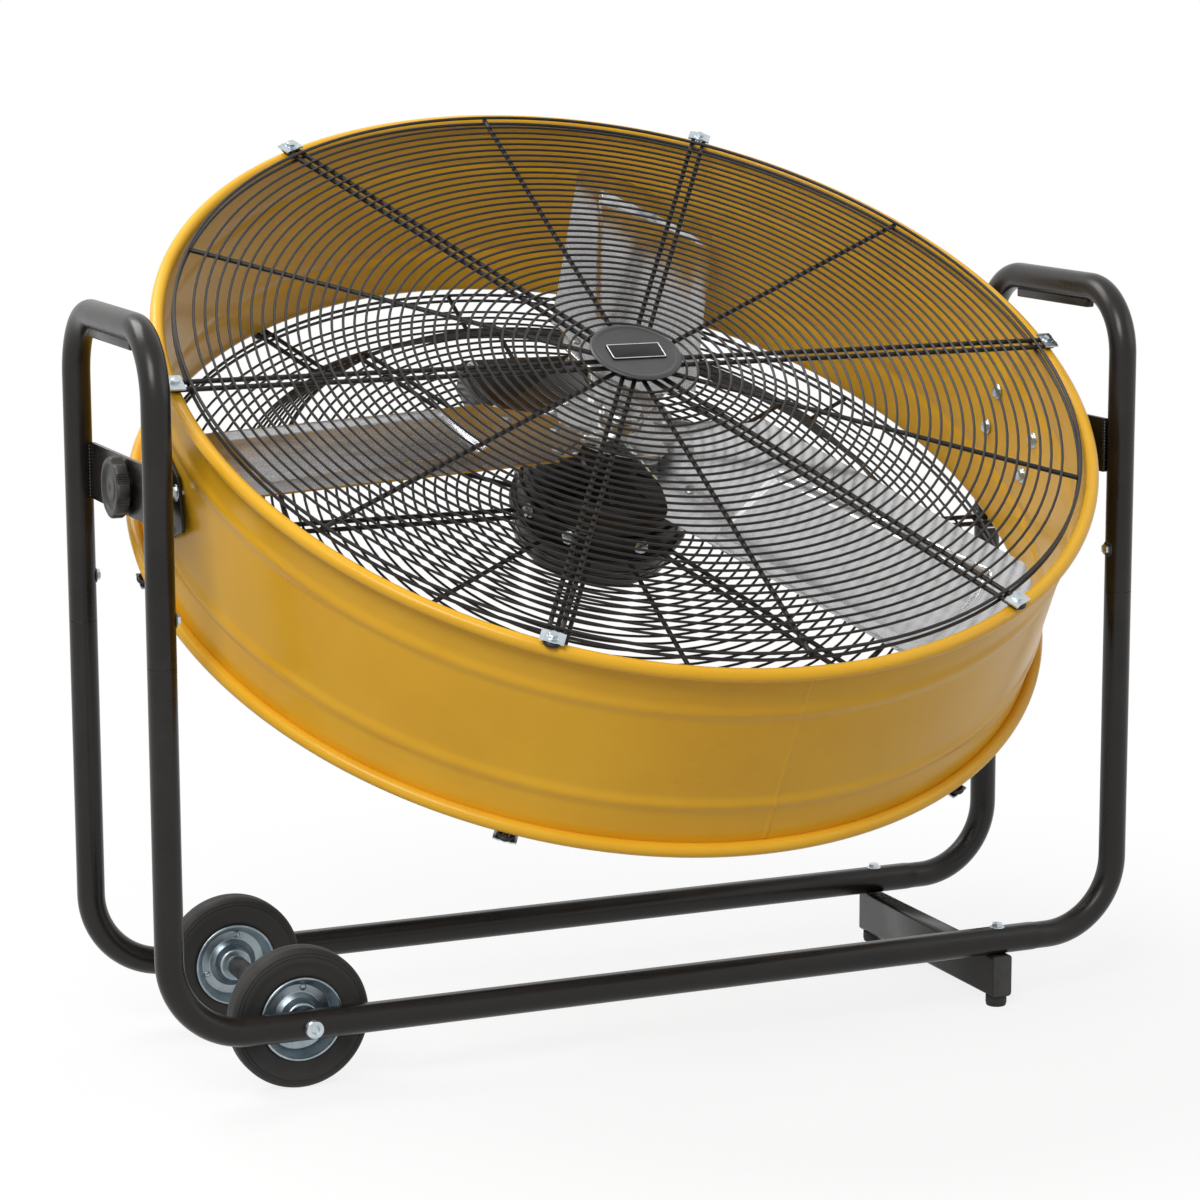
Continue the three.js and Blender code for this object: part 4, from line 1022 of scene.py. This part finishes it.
def seamBolt(side, y):
    # the bolt with the sleeve inside the tubes that it threads into, and its washer
    v, p = tubeValues, places
    head = joined([boltHead(10, -0.2, 4.3), revolve([(3, -8), (3, 1)], 16)])
    sleeve = band(*v["sleeve"], -v["sleeveHalf"], v["sleeveHalf"], 32)
    origin = (side * (p["legX"] - v["radius"]), y, p["handleBoltHeight"])
    inward = (-side, 0, 0)
    bolt = joined([aimed(head, origin, inward), placed(sleeve, (side * p["legX"], y, p["seamHeight"]))])
    return bolt, aimed(washer(3.2, 8.4, -1.6, 0, 32), origin, inward)


for end, y in ends:
    standPiece(end + "Frame", lowerFrame(y), "blackPowderCoat", end + "_frame", 50)
    for side, name in sides:
        bolt, seat = seamBolt(side, y)
        label, node = end + name.capitalize(), end + "_" + name + "_joint"
        standPiece(label + "Bolt", bolt, "brightZinc", node)
        standPiece(label + "BoltWasher", seat, "blackNylon", node)
for side, name in sides:
    standPiece(name + "Handle", handle(side), "blackPowderCoat", name + "_handle", 50)
    standPiece(name + "SidePlate", sidePlate(side), "blackPowderCoat", name + "_side_plate", 45)
print("frames and handles made")


# Foot bar, feet and their bolts

footValues = {"width": 23, "top": 55.7, "bottom": 11.3, "wall": 2, "corner": 4, "overhang": 12,
              "plugDepth": 5, "plugHead": 0.8, "radius": 11, "height": 11, "boltSeat": 83.4,
              "boltEnd": 5.4}


def alongBar(shell, end):
    # lays the shell's Z along the foot bar, to its front for -1 and to its rear for 1
    v = footValues
    return placed(shell, (places["footBarX"], 0, (v["top"] + v["bottom"]) / 2),
                  [[1, 0, 0], [0, 0, 1], [0, end, 0]])


def footBar():
    # a rectangular tube, as a closed row of its inner and outer edges
    v = footValues
    half = places["tubeY"] + v["overhang"]
    outline = rectangle(v["width"], v["top"] - v["bottom"], v["corner"], 6)
    levels = [(-half, 0.4), (0.4 - half, 0), (half - 0.4, 0), (half, 0.4), (half, v["wall"] - 0.4),
              (half - 0.4, v["wall"]), (0.4 - half, v["wall"]), (-half, v["wall"] - 0.4)]
    return alongBar(prism(outline, levels, True), -1)


def footBarPlugs():
    # both ends of the tube are closed by a plug with a low head
    v = footValues
    half = places["tubeY"] + v["overhang"]
    outline = rectangle(v["width"] - v["wall"], v["top"] - v["bottom"] - v["wall"], v["corner"] - 1, 6)
    plug = slab(outline, half - v["plugDepth"], half + v["plugHead"], v["plugHead"])
    return joined([alongBar(plug, -1), alongBar(plug, 1)])


def foot():
    # a round rubber foot with a groove under its top
    r, h = footValues["radius"], footValues["height"]
    return revolve([(2, 0), (r - 1.6, 0), (r - 1, 0.3), (r - 0.6, 1), (r - 0.4, 3), (r, 3.4), (r, 8.6),
                    (r - 0.5, 9), (r - 0.5, 9.8), (r, 10.2), (r, h)], 64)


boltSeat = footValues["boltSeat"]
footBolt = joined([boltHead(10, boltSeat, 3.9, 7.8, 1),
                   revolve([(3, footValues["boltEnd"]), (3, boltSeat + 0.6)], 20)])
standPiece("footBar", footBar(), "blackPowderCoat", "foot_bar", 50)
standPiece("footBarPlugs", footBarPlugs(), "blackNylon", "foot_bar")
for end, y in ends:
    spot = (places["footBarX"], y, 0)
    standPiece(end + "Foot", placed(foot(), spot), "footRubber", end + "_foot")
    standPiece(end + "FootBolt", placed(footBolt, spot), "brightZinc", end + "_foot_bolt")


# Wheels and axle

wheelValues = {"rivets": 3, "rivetCircle": 29, "bushOuter": 9.65, "bushBore": 6.65, "bushHalf": 17.7,
               "sheet": 1.5, "lipRadius": 1.5, "hubRise": 14, "axle": 6.35, "axleHalf": 156.4,
               "spacer": 10.15, "spacerHalf": 87.5, "capStart": 152.2, "capEnd": 159.8}


def tyre():
    # half a section from the bore to the tread, with two fine grooves on the shoulder, and its mirror
    half = [(41.3, 10.8), (42.4, 11.7), (45, 12.3), (49, 12.5), (53, 12.9), (55.6, 13.6), (57.4, 14),
            (60, 14), (61, 13.8), (61.4, 13.1), (62.1, 13.1), (62.5, 13.6), (64, 13.2), (64.5, 12.4),
            (65.2, 12.3), (65.7, 12.6), (67, 11.8), (68.3, 10.6), (69.3, 8.9), (69.8, 7), (70, 4),
            (70, 0.6), (69.6, 0)]
    mirror = [(r, -z) for r, z in half[-2::-1]]
    return revolve(half + mirror, 160, True)


def wheelDisc(hubStart):
    # the outer pressed sheet: hub, step, flat web, cone and rolled lip
    v = wheelValues
    corners = [(hubStart, v["hubRise"]), (15.5, v["hubRise"]), (19, 5.6), (24, 0.9), (33, 0.9), (40.2, 13)]
    sheet = revolve(stripProfile(bentPath(corners, 2.2, 6), v["sheet"]), 128, True)
    lip = revolve(circle(v["lipRadius"], 14) + [40.3, 12.9], 128, True)
    dome = revolve([(3.4, 1.4), (3.4, 2), (2.9, 2.7), (2, 3.2), (0.5, 3.4)], 24)
    heads = around(placed(dome, (v["rivetCircle"], 0, 0)), 20 + np.arange(v["rivets"]) * 120)
    return joined([sheet, lip, heads])


def bush():
    v = wheelValues
    return band(v["bushBore"], v["bushOuter"], -v["bushHalf"], v["bushHalf"], 48)


def onAxle(shell, y, side=1):
    # the shell's Z points along side·Y
    return placed(shell, (places["wheelX"], y, places["baseHeight"]),
                  [[side, 0, 0], [0, 0, -1], [0, side, 0]])


def axleNut():
    # a pressed cap, and the end of the axle in its hole
    a, b = wheelValues["capStart"], wheelValues["capEnd"]
    cap = revolve([(4.2, a), (8.4, a), (9, a + 0.8), (9, b - 1.6), (8.3, b - 0.4), (7.2, b), (5.6, b),
                   (4.6, b - 0.5), (4.2, b - 1.4)], 64, True)
    return joined([cap, revolve([(4.6, b - 4.4), (4.6, b - 3.2), (3.6, b - 2.9)], 32)])


def axle():
    r, half = wheelValues["axle"], wheelValues["axleHalf"]
    return revolve([(r - 0.75, -half), (r, 0.8 - half), (r, half - 0.8), (r - 0.75, half)], 48)


def axleSpacer():
    # the tube between the wheels
    v = wheelValues
    bore, r, half = v["bushBore"], v["spacer"], v["spacerHalf"]
    return revolve([(bore, -half), (r - 0.55, -half), (r, 0.5 - half), (r, half - 0.5), (r - 0.55, half),
                    (bore, half)], 48, True)


for end, side in (("front", -1), ("rear", 1)):
    y = side * places["wheelY"]
    body = end + "_wheel"
    makePiece(end + "Tyre", onAxle(tyre(), y), "tyreRubber", body, body + "_tyre", 28)
    makePiece(end + "WheelDisc", onAxle(wheelDisc(10.6), y, side), "dullZinc", body, body + "_disc")
    inner = joined([onAxle(wheelDisc(9), y, -side), onAxle(bush(), y)])
    makePiece(end + "WheelHubDisc", inner, "dullZinc", body, body + "_hub_disc")
    standPiece(end + "AxleNut", onAxle(axleNut(), 0, side), "brightZinc", end + "_axle_cap")
standPiece("axle", onAxle(axle(), 0), "turnedSteel", "axle")
standPiece("axleSpacer", onAxle(axleSpacer(), 0), "blackNylon", "axle_spacer")
print("wheels and feet made")


# CAD pieces inside the motor and the box keep their solids

innerLooks = {"stator": "copperWindings", "rotor": "turnedSteel", "rear_bearing": "turnedSteel",
              "front_bearing": "turnedSteel", "capacitor": "greyAbs"}
for node, look in innerLooks.items():
    for holder in frame["nodes"][node].material_slots:
        holder.material = materials[look]


# Floor, light and camera

stageValues = {"floorHalf": 200, "shadowShare": 0.17, "shadowNear": 0.5, "shadowFar": 1.15,
               "ambient": 0.38, "aimHeight": 0.5}


def shownRays(tree):
    # 1 for the rays that the camera, a reflection or a clear pane shows, and 0 for light that bounces
    path = addNode(tree, "LightPath").outputs
    reflected = addNode(tree, "Math", {"operation": "MAXIMUM"},
                        {0: path["Is Glossy Ray"], 1: path["Is Transmission Ray"]}).outputs[0]
    return addNode(tree, "Math", {"operation": "MAXIMUM"},
                   {0: path["Is Camera Ray"], 1: reflected}).outputs[0]


def studioFloor():
    # white to the camera, with a share of real shading near the fan so that its shadow stays
    v = stageValues
    half = v["floorHalf"]
    mesh = bpy.data.meshes.new("floor")
    corners = [(-half, -half, 0), (half, -half, 0), (half, half, 0), (-half, half, 0)]
    mesh.from_pydata(corners, [], [(0, 1, 2, 3)])
    floor = bpy.data.objects.new("floor", mesh)
    bpy.context.scene.collection.objects.link(floor)
    material = bpy.data.materials.new("paleFloor")
    material.use_nodes = True
    tree = material.node_tree
    tree.nodes.clear()
    lit = addNode(tree, "BsdfDiffuse", {"Color": hexColour("#ececec")}).outputs[0]
    bounce = addNode(tree, "BsdfDiffuse", {"Color": hexColour("#a8a8a8")}).outputs[0]
    white = addNode(tree, "Emission", {"Color": (1, 1, 1, 1), "Strength": 1.0}).outputs[0]
    centre = addNode(tree, "TexCoord").outputs["Object"]
    away = addNode(tree, "VectorMath", {"operation": "LENGTH"}, {0: centre}).outputs["Value"]
    fade = {"interpolation_type": "SMOOTHSTEP", "From Min": v["shadowNear"], "From Max": v["shadowFar"],
            "To Min": v["shadowShare"], "To Max": 0.0}
    share = addNode(tree, "MapRange", fade, {"Value": away}).outputs["Result"]
    seen = addNode(tree, "MixShader", links={0: share, 1: white, 2: lit}).outputs[0]
    shown = shownRays(tree)
    surface = addNode(tree, "MixShader", links={0: shown, 1: bounce, 2: seen}).outputs[0]
    addNode(tree, "OutputMaterial", links={"Surface": surface})
    mesh.materials.append(material)


def studioWorld():
    # white where it is seen, and dimmer as the light that falls on the fan
    v = stageValues
    world = bpy.data.worlds.new("studio")
    world.use_nodes = True
    tree = world.node_tree
    tree.nodes.clear()
    shown = shownRays(tree)
    strength = addNode(tree, "MapRange", {"To Min": v["ambient"], "To Max": 1.0},
                       {"Value": shown}).outputs["Result"]
    backdrop = addNode(tree, "Background", {"Color": (1, 1, 1, 1)}, {"Strength": strength}).outputs[0]
    addNode(tree, "OutputWorld", links={"Surface": backdrop})
    bpy.context.scene.world = world


softBoxes = {
    "keyLight": {"at": (-2.6, -3.0, 3.6), "size": 2.2, "power": 150},
    "fillLight": {"at": (3.4, -2.2, 2.2), "size": 2.6, "power": 22},
    "topLight": {"at": (-1.6, 1.5, 3.5), "size": 2.0, "power": 90},
}


def studioLights():
    # area lamps that look at the middle of the fan
    for name, v in softBoxes.items():
        light = bpy.data.lights.new(name, "AREA")
        light.size = v["size"]
        light.energy = v["power"]
        lamp = bpy.data.objects.new(name, light)
        at = np.array(v["at"])
        z = unit(at - [0, 0, stageValues["aimHeight"]])
        x = unit(np.cross([0, 0, 1], z))
        rows = np.column_stack([x, np.cross(z, x), z, at])
        lamp.matrix_world = Matrix([list(row) for row in rows] + [[0, 0, 0, 1]])
        bpy.context.scene.collection.objects.link(lamp)


cameraValues = {"azimuth": -23.25, "elevation": 9.92, "roll": -0.19, "at": (-1.42916, -3.29801, 1.06385),
                "lens": 107.29, "sensor": 36}


def studioCamera():
    # back = (sin a·cos e, −cos a·cos e, sin e), with right and up turned by the roll
    v = cameraValues
    a, e, roll = np.radians([v["azimuth"], v["elevation"], v["roll"]])
    back = np.array([np.sin(a) * np.cos(e), -np.cos(a) * np.cos(e), np.sin(e)])
    level = np.array([np.cos(a), np.sin(a), 0])
    rise = np.cross(back, level)
    right = np.cos(roll) * level + np.sin(roll) * rise
    up = np.cos(roll) * rise - np.sin(roll) * level
    lens = bpy.data.cameras.new("camera")
    lens.sensor_width = v["sensor"]
    lens.lens = v["lens"]
    camera = bpy.data.objects.new("camera", lens)
    rows = np.column_stack([right, up, back, v["at"]])
    camera.matrix_world = Matrix([list(row) for row in rows] + [[0, 0, 0, 1]])
    bpy.context.scene.collection.objects.link(camera)
    bpy.context.scene.camera = camera


studioFloor()
studioWorld()
studioLights()
studioCamera()
bpy.context.scene.view_settings.view_transform = "Standard"
print("stage ready")
